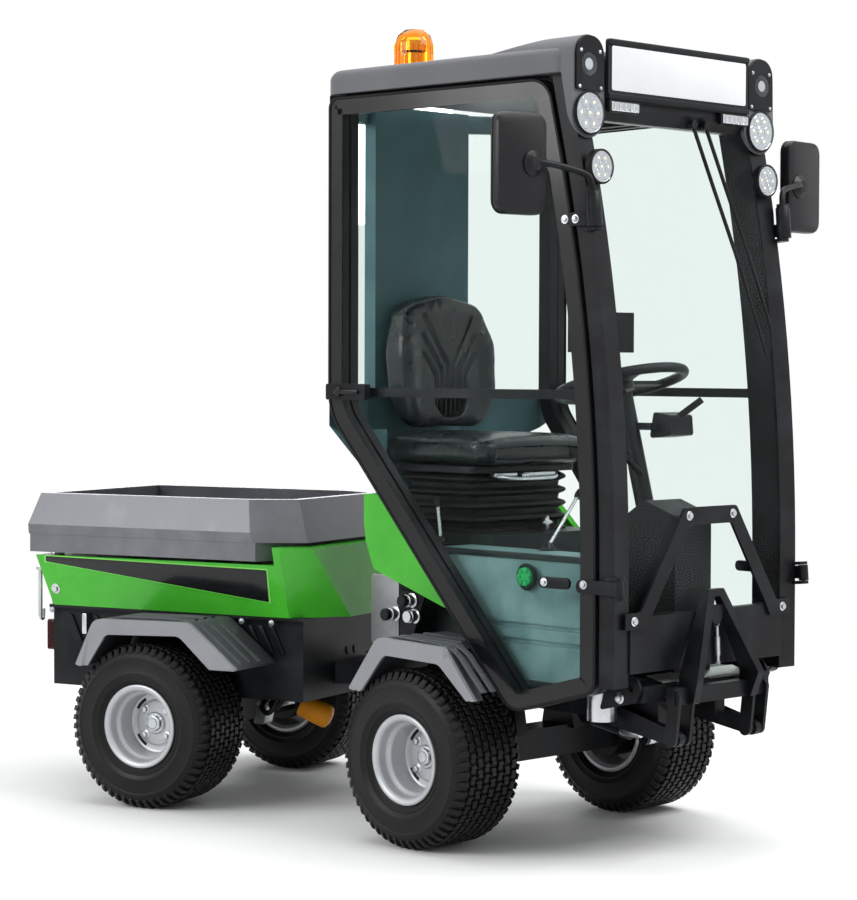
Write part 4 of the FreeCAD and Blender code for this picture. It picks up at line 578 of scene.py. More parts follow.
def copied(node, place):
    """A CAD node's shape in millimetres of a place's own axes, with its triangles merged."""
    shape = bmesh.new()
    shape.from_mesh(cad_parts[node].data)
    bmesh.ops.remove_doubles(shape, verts=shape.verts, dist=1e-6)
    bmesh.ops.transform(shape, matrix=place.inverted(), verts=shape.verts)
    if place.determinant() < 0:
        bmesh.ops.reverse_faces(shape, faces=shape.faces)
    shape.normal_update()
    return shape


FRONT_FENDER = [(-120, 502), (-88, 539), (30, 537), (165, 530), (225, 470), (272, 424)]
REAR_FENDER = [(-168, 478), (-145, 525), (0, 528), (172, 530), (250, 467), (318, 414)]
LIP_Y = 486
lip_plastic = moulded_plastic("pale_grey_polypropylene", "#8a8b8f", "#939498", 0.4, 1.4)
fender_plastic = moulded_plastic("grey_moulded_polypropylene", "#505256", "#5b5d61", 0.42, 1.4)
for node, line, back, place, body, slope_ribs in (
        ("front_fenders", FRONT_FENDER, 0, FRONT, "front_unit", (-468, -436)),
        ("rear_fenders", REAR_FENDER, -WHEELBASE, REAR, "rear_unit", (-452, -405, -358))):
    skin = copied(node, place)
    for y in (-LIP_Y, LIP_Y):
        bmesh.ops.bisect_plane(skin, geom=skin.verts[:] + skin.edges[:] + skin.faces[:], plane_co=(0, y, 0),
                               plane_no=(0, 1, 0))
    for face in skin.faces:
        face.material_index = 1 if abs(face.calc_center_median().y) > LIP_Y else 0
    one = settle(node[:-1] + "_skins", skin, place, body, [fender_plastic, lip_plastic], 30)
    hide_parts(node)
    for side, flip in SIDES:
        ribs = []
        for y in slope_ribs:
            ribs.append(bent_sheet([(x, z + 5) for x, z in line], y - 10, y + 10, 7, 3.2))
        over_wheel = place @ flip @ Matrix.Translation((back, 0, 0))
        settle(node[:-1] + "_ribs_" + side, gathered(*ribs), over_wheel, body, fender_plastic,
               50)


# Doors: toughened glass with a black enamelled border and a round rubber seal, on a tube frame behind it.
# Each hangs on two steel straps bolted through the glass, with a handle box at the rear edge.
FLARE = 4.89
CAB_PIN_X = 590
CAB_HALF = 360
DOOR_FLAT = (Matrix.Translation((CAB_PIN_X, -CAB_HALF, 0)) @ Matrix.Rotation(math.radians(FLARE), 4, "Z")
             @ Matrix.Translation((-CAB_PIN_X, 0, 0)))
SEAL_WIDTH = 8
BORDER_WIDTH = 40
STRAP_BOLTS = ((392, 705), (514, 705), (452, 1591), (484, 1591))
STRAP = [(374, 690), (470, 690), (470, 718), (374, 718)]
STRAP_FACE = -10
LATCH_AT = (-285, -24.1, 1166)
door_seal = moulded_plastic("black_epdm_seal", "#101112", "#191a1b", 0.5, 1.6, 0.2)
border_enamel = gloss_enamel("black_glass_border_enamel", "#0b0c0e", "#0e0f12")


def pane_face(node, place, depth):
    """Outer face of a CAD pane as one outline, in its own flat with the outside towards -Y."""
    shape = copied(node, place)
    inner = [face for face in shape.faces
             if face.normal.y > -0.9 or abs(face.calc_center_median().y - depth) > 0.5]
    bmesh.ops.delete(shape, geom=inner, context="FACES")
    bmesh.ops.dissolve_faces(shape, faces=shape.faces[:])
    return shape


def edge_band(node, place, depth, start, width, out, thick, soften):
    """Band that follows a pane's outline, from a distance inside its edge, standing out of its face."""
    band = pane_face(node, place, depth)
    if start:
        margin = bmesh.ops.inset_region(band, faces=band.faces[:], thickness=start, use_boundary=True,
                                        use_even_offset=True)["faces"]
        bmesh.ops.delete(band, geom=margin, context="FACES")
    ring = bmesh.ops.inset_region(band, faces=band.faces[:], thickness=width, use_boundary=True,
                                  use_even_offset=True)["faces"]
    bmesh.ops.delete(band, geom=[face for face in band.faces if face not in ring], context="FACES")
    grown = bmesh.ops.extrude_face_region(band, geom=band.faces[:])["geom"]
    bmesh.ops.translate(band, vec=(0, -thick, 0), verts=points_of(grown))
    bmesh.ops.translate(band, vec=(0, thick - out, 0), verts=band.verts)
    bmesh.ops.recalc_face_normals(band, faces=band.faces)
    if soften:
        rounded(band, [e for e in band.edges if e.calc_face_angle(0) > 1.2], soften)
    return band


def outward(shape):
    """Turns a piece that stands on the XZ plane along Y so that it stands out of the door, along -Y."""
    return moved(shape, (0, 0, 0), 180, "Z")


for side, flip in SIDES:
    flat = FRONT @ flip @ DOOR_FLAT
    body = "door_" + side
    glass = "door_glass_" + side
    settle("door_seal_" + side, edge_band(glass, flat, 0, 0, SEAL_WIDTH, 3.5, 9, 2.4), flat, body, door_seal,
           60)
    border = edge_band(glass, flat, 0, SEAL_WIDTH, BORDER_WIDTH, 0.35, 0.3, 0)
    settle("glass_border_" + side, border, flat, body, border_enamel, 30)
    studs = [moved(outward(bolt(7.5, 5)), (x, STRAP_FACE - 0.1, z)) for x, z in STRAP_BOLTS]
    plated("strap_bolts_" + side, gathered(*studs), flat, body)
    strap = slab(STRAP, STRAP_FACE, -0.2, 1.5, "Y", 13)
    settle("hinge_strap_end_" + side, strap, flat, body, black_coat)
    knob = spun([(0, 0), (13, 0), (13, 5), (10, 9), (0, 10)], 28, False)
    lever = slab([(-300, 1160), (-215, 1160), (-215, 1172), (-300, 1172)], -31, -25, 2, "Y", 4)
    settle("door_latch_" + side, gathered(moved(outward(knob), LATCH_AT), lever), flat, body,
           border_enamel)


# Mirrors: grained black shells with a rolled rim and a silvered glass behind, each clamped by a ball joint
# to a cranked tube that stands in a socket on the door's upper hinge.
MIRROR_AT = (465, -546, 1717)
MIRROR_YAW = -5
shell_plastic = moulded_plastic("black_grained_mirror_shell", "#131416", "#1c1d20", 0.36, 1.8, 0.3, 0.25)
silvering = coated_steel("mirror_silvering", "#e4e8ea", "#dfe3e5", 0.06, 3.0, metal=1.0, wear=0.02)
HINGE_LOW = Vector((615.91, -361.78, 700))
HINGE_UP = Vector((-0.086839, -0.007429, 0.996195))
UPPER_HINGE = HINGE_LOW + HINGE_UP * ((1591 - 700) / HINGE_UP.z)
HINGE_BARREL_HALF = 20
SOCKET_LENGTH = 50


def upright(shape, foot, direction):
    """Stands a piece made along Y on a point, along a direction."""
    turn = Vector((0, 1, 0)).rotation_difference(Vector(direction)).to_matrix()
    bmesh.ops.rotate(shape, verts=shape.verts, cent=(0, 0, 0), matrix=turn)
    bmesh.ops.translate(shape, verts=shape.verts, vec=foot)
    return shape


def turned(profile, steps, foot, direction):
    """Solid turned from a profile and stood on a point, along a direction."""
    return upright(spun(profile, steps, False), foot, direction)


for side, flip in SIDES:
    outline = [(-78, -122), (78, -122), (78, 122), (-78, 122)]
    shell = slab(outline, -22, 6, 9, "X", 32)
    rim = slab(outline, -24, -18, 2, "X", 32)
    silver = slab([(y * 0.93, z * 0.95) for y, z in outline], -24.4, -23.6, 0, "X", 28)
    for piece in (shell, rim, silver):
        moved(piece, MIRROR_AT, MIRROR_YAW)
    clamp = turned([(0, 0), (29, 0), (32, 3), (31, 9), (24, 14), (17, 22), (0, 24)], 36,
                   (MIRROR_AT[0] + 3, -516, MIRROR_AT[2]), (1, -0.06, 0))
    socket_foot = UPPER_HINGE + HINGE_UP * (HINGE_BARREL_HALF + 0.3)
    socket = turned([(0, 0), (18.8, 0), (18.8, 38), (16, 42), (16, SOCKET_LENGTH - 1), (0, SOCKET_LENGTH - 1)],
                    32, socket_foot, HINGE_UP)
    top = socket_foot + HINGE_UP * (SOCKET_LENGTH - 6)
    arm = tube([top, top + HINGE_UP * 26, (522, -386, 1700), (504, -452, 1713), (492, -500, 1720),
                (474, -522, 1719)], 8, 3)
    place = FRONT @ flip
    holder = settle("mirror_shell_" + side, gathered(shell, rim, clamp), place, "door_" + side, shell_plastic,
                    40)
    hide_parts("mirror_" + side)
    settle("mirror_arm_" + side, gathered(socket, arm), place, "door_" + side, black_coat)
    settle("mirror_glass_" + side, silver, place, "door_" + side, silvering)


# Work lamps and road lamps: round black moulded housings with a bright reflector and a clear polycarbonate
# lens; flat strobes under the plate; a ribbed amber beacon on the roof.
LAMP_Y = 332
POD_FRONT_X = 482
HEADER_FRONT_X = 484
lamp_shell = moulded_plastic("black_lamp_housing", "#121314", "#1b1c1e", 0.4, 1.6)
reflector = coated_steel("aluminised_reflector", "#d9dcde", "#c9cccf", 0.16, 2.0, metal=1.0, wear=0.1)
led_chip = moulded_plastic("led_phosphor", "#e9e6c8", "#f1eed6", 0.35, 1.2, 0.05)


def round_lamp(radius, depth):
    """Housing, reflector with its studs, and lens of a round lamp that faces Y."""
    housing = spun([(0, 0), (radius - 6, 0), (radius, 5), (radius, depth - 2), (radius - 2, depth),
                    (radius - 5, depth), (radius - 5, depth - 4), (0, depth - 4)], 48, False)
    inside = [spun([(0, depth - 3.8), (radius - 5.2, depth - 3.8), (radius - 5.2, depth - 2.8),
                    (0, depth - 3.2)], 48, False)]
    chips = []
    for number in range(7):
        turn = math.tau * number / 6
        reach = 0 if number == 6 else (radius - 5) * 0.6
        spot = (reach * math.cos(turn), 0, reach * math.sin(turn))
        cup = spun([(radius * 0.1, depth - 2.4), (radius * 0.25, depth - 1.6), (radius * 0.27, depth - 2.6)],
                   16)
        inside.append(moved(cup, spot))
        chip = spun([(0, depth - 2.6), (radius * 0.09, depth - 2.6), (radius * 0.07, depth - 2.0),
                     (0, depth - 1.9)], 12, False)
        chips.append(moved(chip, spot))
    lens = spun([(0, depth - 1.4), (radius - 5.4, depth - 1.4), (radius - 5.4, depth - 0.6),
                 (radius * 0.5, depth), (0, depth + 0.3)], 48, False)
    return housing, gathered(*inside), gathered(*chips), lens


for side, flip in SIDES:
    place = FRONT @ flip
    for name, radius, depth, foot, way in (
            ("pod_lamp", 54, 9, (POD_FRONT_X + 0.3, -LAMP_Y, 1850), (1, 0, 0)),
            ("side_lamp", 43, 23, (499, -322, 1719), (1, 0, 0))):
        housing, inside, chips, lens = [upright(shape, foot, way) for shape in round_lamp(radius, depth)]
        if name == "side_lamp":
            stem = slab([(-330, 1693), (-314, 1693), (-314, 1713), (-330, 1713)], 483, 510, 2, "X")
            housing = gathered(housing, stem)
        one = settle(name + "_housing_" + side, housing, place, "front_unit", lamp_shell)
        if name == "pod_lamp" and side == "right":
            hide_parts("lamps")
        settle(name + "_reflector_" + side, inside, place, "front_unit", reflector)
        settle(name + "_leds_" + side, chips, place, "front_unit", led_chip)
        settle(name + "_lens_" + side, lens, place, "front_unit", lamp_pane)
    eye_at = (POD_FRONT_X + 2.4, -LAMP_Y - 3, 1968)
    bowl = turned([(0, 0), (29.6, 0), (29.6, 3.4), (28, 3.4), (16, 1.2), (0, 0.8)], 40, eye_at, (1, 0, 0))
    settle("pod_bowl_" + side, bowl, place, "front_unit", lamp_shell)
    pupil = turned([(0, 1.4), (13, 1.8), (14, 2.6), (11, 3.2), (0, 3.3)], 32, eye_at, (1, 0, 0))
    settle("pod_reflector_" + side, pupil, place, "front_unit", reflector)
    cover = turned([(0, 3.6), (28.5, 3.6), (28.5, 4.2), (16, 6.4), (0, 7)], 40, eye_at, (1, 0, 0))
    settle("pod_lens_" + side, cover, place, "front_unit", lamp_pane)
    screws = [moved(upright(bolt(3.4, 2.2), (0, 0, 0), (1, 0, 0)), (POD_FRONT_X + 6.2, -LAMP_Y + 1 + dy, z))
              for dy, z in ((-38, 1912), (38, 1912), (-34, 2000), (34, 2000))]
    plated("fascia_screws_" + side, gathered(*screws), place)
    body_block = slab([(-271, 1856.2), (-157, 1856.2), (-157, 1885.5), (-271, 1885.5)], HEADER_FRONT_X + 0.4,
                      498, 2, "X", 5)
    settle("strobe_body_" + side, body_block, place, "front_unit", lamp_shell)
    lit = slab([(-264, 1860), (-164, 1860), (-164, 1882), (-264, 1882)], 498, 499.4, 0.5, "X", 3)
    settle("strobe_reflector_" + side, lit, place, "front_unit", reflector)
    windows = [slab([(y - 8, 1861), (y + 8, 1861), (y + 8, 1881), (y - 8, 1881)], 499.6, 503.6, 1.2, "X", 3)
               for y in (-253, -233.5, -214, -194.5, -175)]
    settle("strobe_window_" + side, gathered(*windows), place, "front_unit", lamp_pane)

BEACON_AT = (-270, -200, 2012)
dome = spun([(0, 24), (52, 24), (53.5, 27), (53.5, 60), (52, 86), (46, 107), (30, 121), (12, 126), (0, 126.8)],
            48, False)
ribs = []
for number in range(24):
    rib = slab([(52.6, 28), (53.9, 28), (53.9, 84), (52.6, 84)], -1.2, 1.2, 0, "Z")
    ribs.append(moved(rib, (0, 0, 0), 15 * number, "Y"))
amber = upright(gathered(dome, *ribs), BEACON_AT, (0, 0, 1))
lens_dome = settle("beacon_dome", amber, FRONT, "front_unit", amber_pane)
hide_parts("beacon")
foot = turned([(0, 0.3), (62, 0.3), (62, 8), (60, 12), (55, 14), (55, 23.8), (0, 23.8)], 48, BEACON_AT,
              (0, 0, 1))
settle("beacon_foot", foot, FRONT, "front_unit", lamp_shell)
lamp_core = turned([(0, 24.2), (20, 24.2), (20, 60), (27, 66), (27, 92), (20, 98), (0, 98)], 32, BEACON_AT,
                   (0, 0, 1))
settle("beacon_core", lamp_core, FRONT, "front_unit", reflector)

# Plate holder: a black moulded frame over the windscreen, with a rim above and below a blank white plate
# of pressed sheet.
dress(black_plastic, "number_plate")
plate_white = moulded_plastic("white_plate_sheet", "#dcdedf", "#e4e6e7", 0.35, 1.2, 0.04)
blank = slab([(-260, 1910), (260, 1910), (260, 2019), (-260, 2019)], 494.1, 495.3, 0.5, "X", 6)
settle("blank_plate", blank, FRONT, "front_unit", plate_white)
frame_rim = [slab([(-272, z), (272, z), (272, z + 14), (-272, z + 14)], 494, 498, 1.5, "X", 3)
             for z in (1889, 2021)]
settle("plate_frame_rim", gathered(*frame_rim), FRONT, "front_unit", black_plastic)


# Engine cover trim: a wedge of black film with a pale green border along each side, zinc-plated bolts at the
# rear and along the flange, and a short prop rod that hangs in its hook on the right.
SIDE_LEAN = 0.2635
SHELL_LOW_Z = 533
SHELL_LOW_HALF = 290
SHELL_SIDE = Matrix(((1, 0, 0, 0), (0, 1, -SIDE_LEAN, SIDE_LEAN * SHELL_LOW_Z - SHELL_LOW_HALF),
                     (0, 0, 1, 0), (0, 0, 0, 1)))
BAND = [(-1536, 678), (-784, 667), (-790, 576), (-1539, 662)]
BAND_EDGE = [(-1541, 681), (-779, 671), (-784, 569), (-1545, 657)]
pale_green = gloss_enamel("pale_green_film", "#7fd45c", "#76cc53")
black_film = gloss_enamel("black_gloss_film", "#111214", "#17181a")
for side, flip in SIDES:
    place = REAR @ flip
    settle("cover_band_edge_" + side, slab(BAND_EDGE, -1.2, -0.3, 0.3, "Y", 6), place @ SHELL_SIDE, "rear_unit",
           pale_green)
    settle("cover_band_" + side, slab(BAND, -2.0, -1.2, 0.3, "Y", 4), place @ SHELL_SIDE, "rear_unit",
           black_film)
    crease = slab([(-1538, 660), (-772, 573), (-772, 568), (-1538, 655)], -1.6, -0.3, 0.5, "Y")
    settle("cover_crease_" + side, crease, place @ SHELL_SIDE, "rear_unit", green_enamel)
    big = moved(outward(bolt(10.5, 8)), (-1520, -0.3, 581))
    plated("cover_bolts_" + side, big, place @ SHELL_SIDE, "rear_unit")
    rail = [moved(outward(bolt(6, 4.5)), (x, -287.2, 517)) for x in (-1545, -890, -792)]
    plated("flange_bolts_" + side, gathered(*rail), place, "rear_unit")
    strip = slab([(-1437, 452), (-1421, 452), (-1421, 512), (-1437, 512)], -289, -265.3, 1.5, "Y", 4)
    plated("side_clip_" + side, strip, place, "rear_unit")
prop = gathered(tube([(-1573, -306, 640), (-1573, -306, 500)], 6, 3),
                slab([(-1585, 634), (-1561, 634), (-1561, 646), (-1585, 646)], -312, -286, 2, "Y", 3))
plated("prop_rod", prop, REAR, "rear_unit")
hook = tube([(-1573, -306, 506), (-1573, -306, 494), (-1573, -296, 488), (-1573, -290, 494),
             (-1573, -290, 520)], 4.5, 3)
plated("prop_hook", hook, REAR, "rear_unit")

# Rear chassis: slanted stiffening ribs of black-coated plate on its sides, three behind the wheels and three
# ahead of them.
for side, flip in SIDES:
    stiffeners = []
    for x in (-1500, -1455, -1410, -880, -845, -810):
        rib = slab([(x + 34, 428), (x + 52, 428), (x + 14, 506), (x - 4, 506)], -272, -264.8, 3, "Y", 5)
        stiffeners.append(rib)
    settle("chassis_ribs_" + side, gathered(*stiffeners), REAR @ flip, "rear_unit", black_coat)


# Load bed: beads pressed across the floor of the graphite-painted sheet, and a zinc-plated nut on each end
# of the hinge pin behind.
beads = []
for x in range(-1500, -850, 90):
    beads.append(slab([(x, -290), (x + 34, -290), (x + 34, 290), (x, 290)], 697.6, 701.4, 1.8, "Z", 10))
settle("bed_floor_beads", gathered(*beads), REAR, "load_bed", bed_paint)
for side, flip in SIDES:
    plated("bed_hinge_nut_" + side, moved(outward(bolt(9, 7)), (-1592, -215.2, 668)), REAR @ flip, "rear_unit")


# Quick couplings on the right of the front chassis: turned sleeves in zinc plate, two of them under moulded
# black dust caps.
COUPLINGS = ((-199, 610), (-264, 570), (-188, 569))
CHASSIS_WALL_Y = -265.2
SLEEVE_END_Y = -298.4
SLEEVE = [(0, -1), (20, -1), (20, 5), (15, 7), (15, 12), (17, 13.5), (17, 25), (15, 26.5), (15, 31), (12.5, 33),
          (0, 33)]
DUST_CAP = [(0, 0), (16.5, 0), (16.5, 10), (14, 12.5), (0, 13)]
sleeves = [moved(outward(spun(SLEEVE, 32, False)), (x, CHASSIS_WALL_Y, z)) for x, z in COUPLINGS]
caps = [moved(outward(spun(DUST_CAP, 28, False)), (x, SLEEVE_END_Y, z)) for x, z in COUPLINGS[:2]]
plated("coupling_sleeves", gathered(*sleeves))
settle("coupling_caps", gathered(*caps), FRONT, "front_unit", black_plastic)


# Driver's seat: moulded foam cushion and high back in black vinyl. The back has an arched top, side bolsters
# and branching flutes; the cushion has a rounded crown, two thigh bolsters and a hollow under its front lip.
VOXEL_MM = 6
SWELL_MM = 6
CUSHION_LOW = 977
CUSHION_TOP = 1042
CUSHION_OUTLINE = [(-392, -212), (20, -218), (20, 218), (-392, 212)]
BACK_OUTLINE = [(-132, 1062), (132, 1062), (184, 1150), (190, 1290), (150, 1408), (0, 1440), (-150, 1408),
                (-190, 1290), (-184, 1150)]
BACK_REAR_X = -393
BACK_FRONT_X = -322
BACK_FOOT_Z = 1060
BACK_LEAN = -0.07
FLUTES = (((10, 1120), (10, 1238), (92, 1372)), ((33, 1120), (33, 1222), (96, 1318)),
          ((55, 1120), (55, 1205), (98, 1268)))
LUMBAR_Z = 1150
LUMBAR_HALF = 66
LUMBAR_DROP = 62


def evaluated(made):
    """Mesh of an object with its modifiers applied."""
    return bpy.data.meshes.new_from_object(made.evaluated_get(bpy.context.evaluated_depsgraph_get()))


def finished(made):
    """Applies an object's modifiers to its mesh."""
    mesh = evaluated(made)
    made.modifiers.clear()
    made.data = mesh


def stuffed(made, swell_mm):
    """Blows a closed piece up like a tight cover over foam: no point moves further than a cap."""
    voxels = made.modifiers.new("voxels", "REMESH")
    voxels.mode = "VOXEL"
    voxels.voxel_size = VOXEL_MM / 1000
    finished(made)
    homes = [point.co.copy() for point in made.data.vertices]
    cover = made.modifiers.new("cover", "CLOTH")
    cover.settings.use_pressure = True
    cover.settings.uniform_pressure_force = 4
    cover.settings.effector_weights.gravity = 0
    for number in range(1, 21):
        bpy.context.scene.frame_set(number)
    finished(made)
    for point, home in zip(made.data.vertices, homes):
        step = point.co - home
        if step.length > swell_mm / 1000:
            point.co = home + step.normalized() * swell_mm / 1000
    bpy.context.scene.frame_set(1)
    rounder = made.modifiers.new("rounder", "SUBSURF")
    rounder.levels = 1
    rounder.render_levels = 1
    finished(made)
    for face in made.data.polygons:
        face.use_smooth = True


def pressed(made, place, press):
    """Moves each point of a piece by what a function gives for it, in millimetres of a place's own axes."""
    home = place.inverted()
    for point in made.data.vertices:
        spot = home @ point.co
        point.co = place @ (spot + press(spot))


def groove(distance, width, depth):
    """Depth of a sewn or moulded channel at a distance from its middle line."""
    return depth * math.exp(-(distance / width) ** 2)


def reach_to_run(y, z, start, end):
    """Distance in the YZ plane to a straight run."""
    line = Vector(end) - Vector(start)
    share = max(0, min(1, (Vector((y, z)) - Vector(start)).dot(line) / line.length_squared))
    return (Vector((y, z)) - Vector(start) - line * share).length


def ease(value, low, high):
    """Smooth rise from 0 to 1 between two values."""
    share = max(0, min(1, (value - low) / (high - low)))
    return share * share * (3 - 2 * share)


def cushion_press(spot):
    drop = 0
    lift = 0
    if spot.z > 1000:
        across = abs(spot.y) / 218
        lift = 9 * (1 - across ** 2) - 12 * ease(spot.x, -90, 40) * (1 if spot.z > 1020 else 0)
        for y in (-128, 128):
            drop += groove(spot.y - y, 7, 5) * ease(-spot.x, 40, 90)
        drop += groove(spot.x + 285, 8, 5) * (1 if abs(spot.y) < 128 else 0)
    hollow = (ease(spot.x, -10, 14) * ease(165 - abs(spot.y), 0, 22) * ease(spot.z, 982, 992)
              * ease(1026 - spot.z, 0, 10))
    tuck = 10 * ease(1010 - spot.z, 0, 40)
    return Vector((-22 * hollow - (tuck if spot.x > -20 else 0),
                   -math.copysign(tuck, spot.y) * ease(abs(spot.y), 150, 210),
                   lift - drop if spot.z > 1000 else 0))


def back_press(spot):
    front = ease(spot.x + 400 - BACK_LEAN * (spot.z - BACK_FOOT_Z), 30, 70)
    bolster = 14 * ease(abs(spot.y), 105, 165) * ease(1400 - spot.z, 0, 120)
    drop = 0
    for flute in FLUTES:
        for start, end in zip(flute, flute[1:]):
            away = min(reach_to_run(spot.y, spot.z, start, end),
                       reach_to_run(-spot.y, spot.z, start, end))
            drop = max(drop, groove(away, 6.5, 8))
    hollow = ease(1 - (spot.y / LUMBAR_HALF) ** 2 - ((spot.z - LUMBAR_Z) / LUMBAR_DROP) ** 2, 0, 0.25)
    if spot.z > LUMBAR_Z:
        hollow = 0
    sink = max(drop * ease(spot.z, 1110, 1140), 26 * hollow)
    return Vector(((bolster - sink) * front, 0, 0))


vinyl = moulded_plastic("black_seat_vinyl", "#13181a", "#1c2326", 0.28, 2.0, 0.35, 0.4)
cushion_shape = slab(CUSHION_OUTLINE, CUSHION_LOW, CUSHION_TOP, 16, "Z", 52)
cushion = settle("seat_cushion_foam", cushion_shape, FRONT, "front_unit", vinyl)
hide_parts("seat_cushion")
stuffed(cushion, SWELL_MM)
pressed(cushion, FRONT, cushion_press)
back_shape = slab(BACK_OUTLINE, BACK_REAR_X, BACK_FRONT_X, 18, "X", 34)
for point in back_shape.verts:
    point.co.x += BACK_LEAN * (point.co.z - BACK_FOOT_Z)
back = settle("seat_back_foam", back_shape, FRONT, "front_unit", vinyl)
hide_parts("seat_back")
stuffed(back, SWELL_MM)
pressed(back, FRONT, back_press)
fins = [slab([(y - 4, 1094 + abs(y) * 0.3), (y + 4, 1094 + abs(y) * 0.3), (y + 4, 1146), (y - 4, 1146)],
             -350, -334, 3, "X", 3) for y in (-45, -27, -9, 9, 27, 45)]
settle("lumbar_fins", gathered(*fins), FRONT, "front_unit", black_plastic)


# Seat suspension: pleated rubber bellows under a steel tray, with the slide rail's zinc handle over it and
# the ride knob ahead of it. Two control levers stand beside the seat in round gaiters.
def pleated(width_x, width_y, corner, low, levels):
    """Sleeve drawn up from a rounded rectangle through (height, inset) levels."""
    shape = bmesh.new()
    bmesh.ops.create_grid(shape, x_segments=1, y_segments=1, size=0.5)
    bmesh.ops.scale(shape, vec=(width_x, width_y, 1), verts=shape.verts)
    bmesh.ops.bevel(shape, geom=shape.verts[:], offset=corner, segments=6, profile=0.5, affect="VERTICES",
                    material=-1)
    top = shape.faces[:]
    spread = 0
    height = 0
    for level, inset in levels:
        grown = bmesh.ops.extrude_face_region(shape, geom=top)["geom"]
        ring = points_of(grown)
        top = [f for f in grown if isinstance(f, bmesh.types.BMFace)]
        bmesh.ops.scale(shape, verts=ring, vec=((width_x - 2 * inset) / (width_x - 2 * spread),
                                                (width_y - 2 * inset) / (width_y - 2 * spread), 1))
        bmesh.ops.translate(shape, verts=ring, vec=(0, 0, level - height))
        spread, height = inset, level
    bmesh.ops.translate(shape, verts=shape.verts, vec=(0, 0, low))
    bmesh.ops.recalc_face_normals(shape, faces=shape.faces)
    return shape


BELLOWS_FOOT_Z = 790.3
FOLD_PITCH = 36
FOLD = ((2, 16), (14, 14), (20, 3), (24, 0), (28, 0), (32, 3))
folds = [(8, 0)]
for fold in range(4):
    for rise, inset in FOLD:
        folds.append((10 + fold * FOLD_PITCH + rise, inset))
folds.append((160, 18))
bellows_rubber = moulded_plastic("black_bellows_rubber", "#131415", "#1c1d1f", 0.42, 2.2, 0.15)
sleeve = moved(pleated(280, 380, 30, BELLOWS_FOOT_Z, folds), (-190, 0, 0))
tray = slab([(-340, -200), (-40, -200), (-40, 200), (-340, 200)], 950.5, 969.5, 3, "Z", 18)
bellows = settle("seat_bellows", sleeve, FRONT, "front_unit", bellows_rubber, 60)
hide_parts("seat_base")
settle("seat_tray", tray, FRONT, "front_unit", black_coat)
handle = [tube([(-38, -118, 944), (-20, -112, 938), (-16, -60, 934), (-16, 70, 934), (-22, 108, 938),
                (-38, 114, 944)], 6, 3),
          slab([(-52, -126), (-28, -126), (-28, -40), (-52, -40)], 940, 950, 2, "Z", 4),
          slab([(-52, -20), (-24, -20), (-24, 104), (-52, 104)], 938, 950, 2, "Z", 4),
          moved(spun([(0, 0), (9, 0), (9, 26), (0, 26)], 20, False), (-30, -30, 941))]
plated("seat_slide_handle", gathered(*handle))
knob_outline = []
for number in range(24):
    turn = math.tau * number / 24
    reach = 15 + 5 * math.cos(4 * turn)
    knob_outline.append((74 + reach * math.cos(turn), 812 + reach * math.sin(turn)))
knob = gathered(slab(knob_outline, -40, -24, 3, "X"),
                slab([(68, 806), (80, 806), (80, 818), (68, 818)], -50, -38, 1, "X", 3))
plated("ride_knob", knob)
for name, foot, top in (("lever_rear", (-105, -252, 765.4), (-120, -250, 868)),
                        ("lever_front", (238, -206, 765.4), (236, -92, 900))):
    gaiter = turned([(0, 0), (25, 0), (25, 3), (17, 6), (9, 20), (0, 21)], 28, foot, (0, 0, 1))
    grip = turned([(0, -6), (8, -6), (10, 4), (9, 16), (5, 21), (0, 22)], 24, top, Vector(top) - Vector(foot))
    settle(name + "_grip", gathered(gaiter, grip), FRONT, "front_unit", black_plastic)
    plated(name + "_rod", tube([Vector(foot) + Vector((0, 0, 8)), top], 4.5, 3))


# Behind the right door: the teal side panel of the rear wall with four screws, the dark edge of the shelf over
# the tank, and the lobed green filler cap in its round collar.
panel = slab([(-356, 1062), (-216, 1062), (-216, 882), (-232, 882), (-306, 990), (-356, 1040)], -354.9,
             -351.9, 1, "X", 6)
settle("side_panel_plate", panel, FRONT, "front_unit", teal_coat)
screws = [upright(bolt(4.2, 3), (-351.8, -269, z), (1, 0, 0)) for z in (1026, 996, 967, 937)]
plated("side_panel_screws", gathered(*screws))
TANK_FACE_Y = -304
FILLER_AT = (270, TANK_FACE_Y, 706)
tank_rim = slab([(-86, 764), (478, 764), (478, 748), (6, 748), (-50, 740)], TANK_FACE_Y - 5, TANK_FACE_Y + 2,
                2.5, "Y", 6)
settle("tank_shelf_edge", tank_rim, FRONT, "front_unit", shelf_coat)
collar = outward(spun([(0, 11.8), (34, 11.8), (34, 15), (30, 19), (27, 19), (27, 13), (0, 13)], 40, False))
settle("filler_collar", moved(collar, FILLER_AT), FRONT, "front_unit", black_plastic)
cap_green = moulded_plastic("green_cap_plastic", "#1f8a4c", "#259657", 0.38, 1.6)
cap_parts = [spun([(0, 13.5), (24, 13.5), (24, 22), (21, 25), (0, 25.5)], 36, False)]
for number in range(6):
    lobe = slab([(10, -4), (23, -4), (23, 4), (10, 4)], 0, 4, 1.2, "Z", 2)
    bmesh.ops.rotate(lobe, verts=lobe.verts, cent=(0, 0, 0), matrix=Matrix.Rotation(-math.pi / 2, 3, "X"))
    cap_parts.append(moved(moved(lobe, (0, 24.5, 0)), (0, 0, 0), 60 * number, "Y"))
cap = outward(gathered(*cap_parts))
settle("filler_cap", moved(cap, FILLER_AT), FRONT, "front_unit", cap_green)


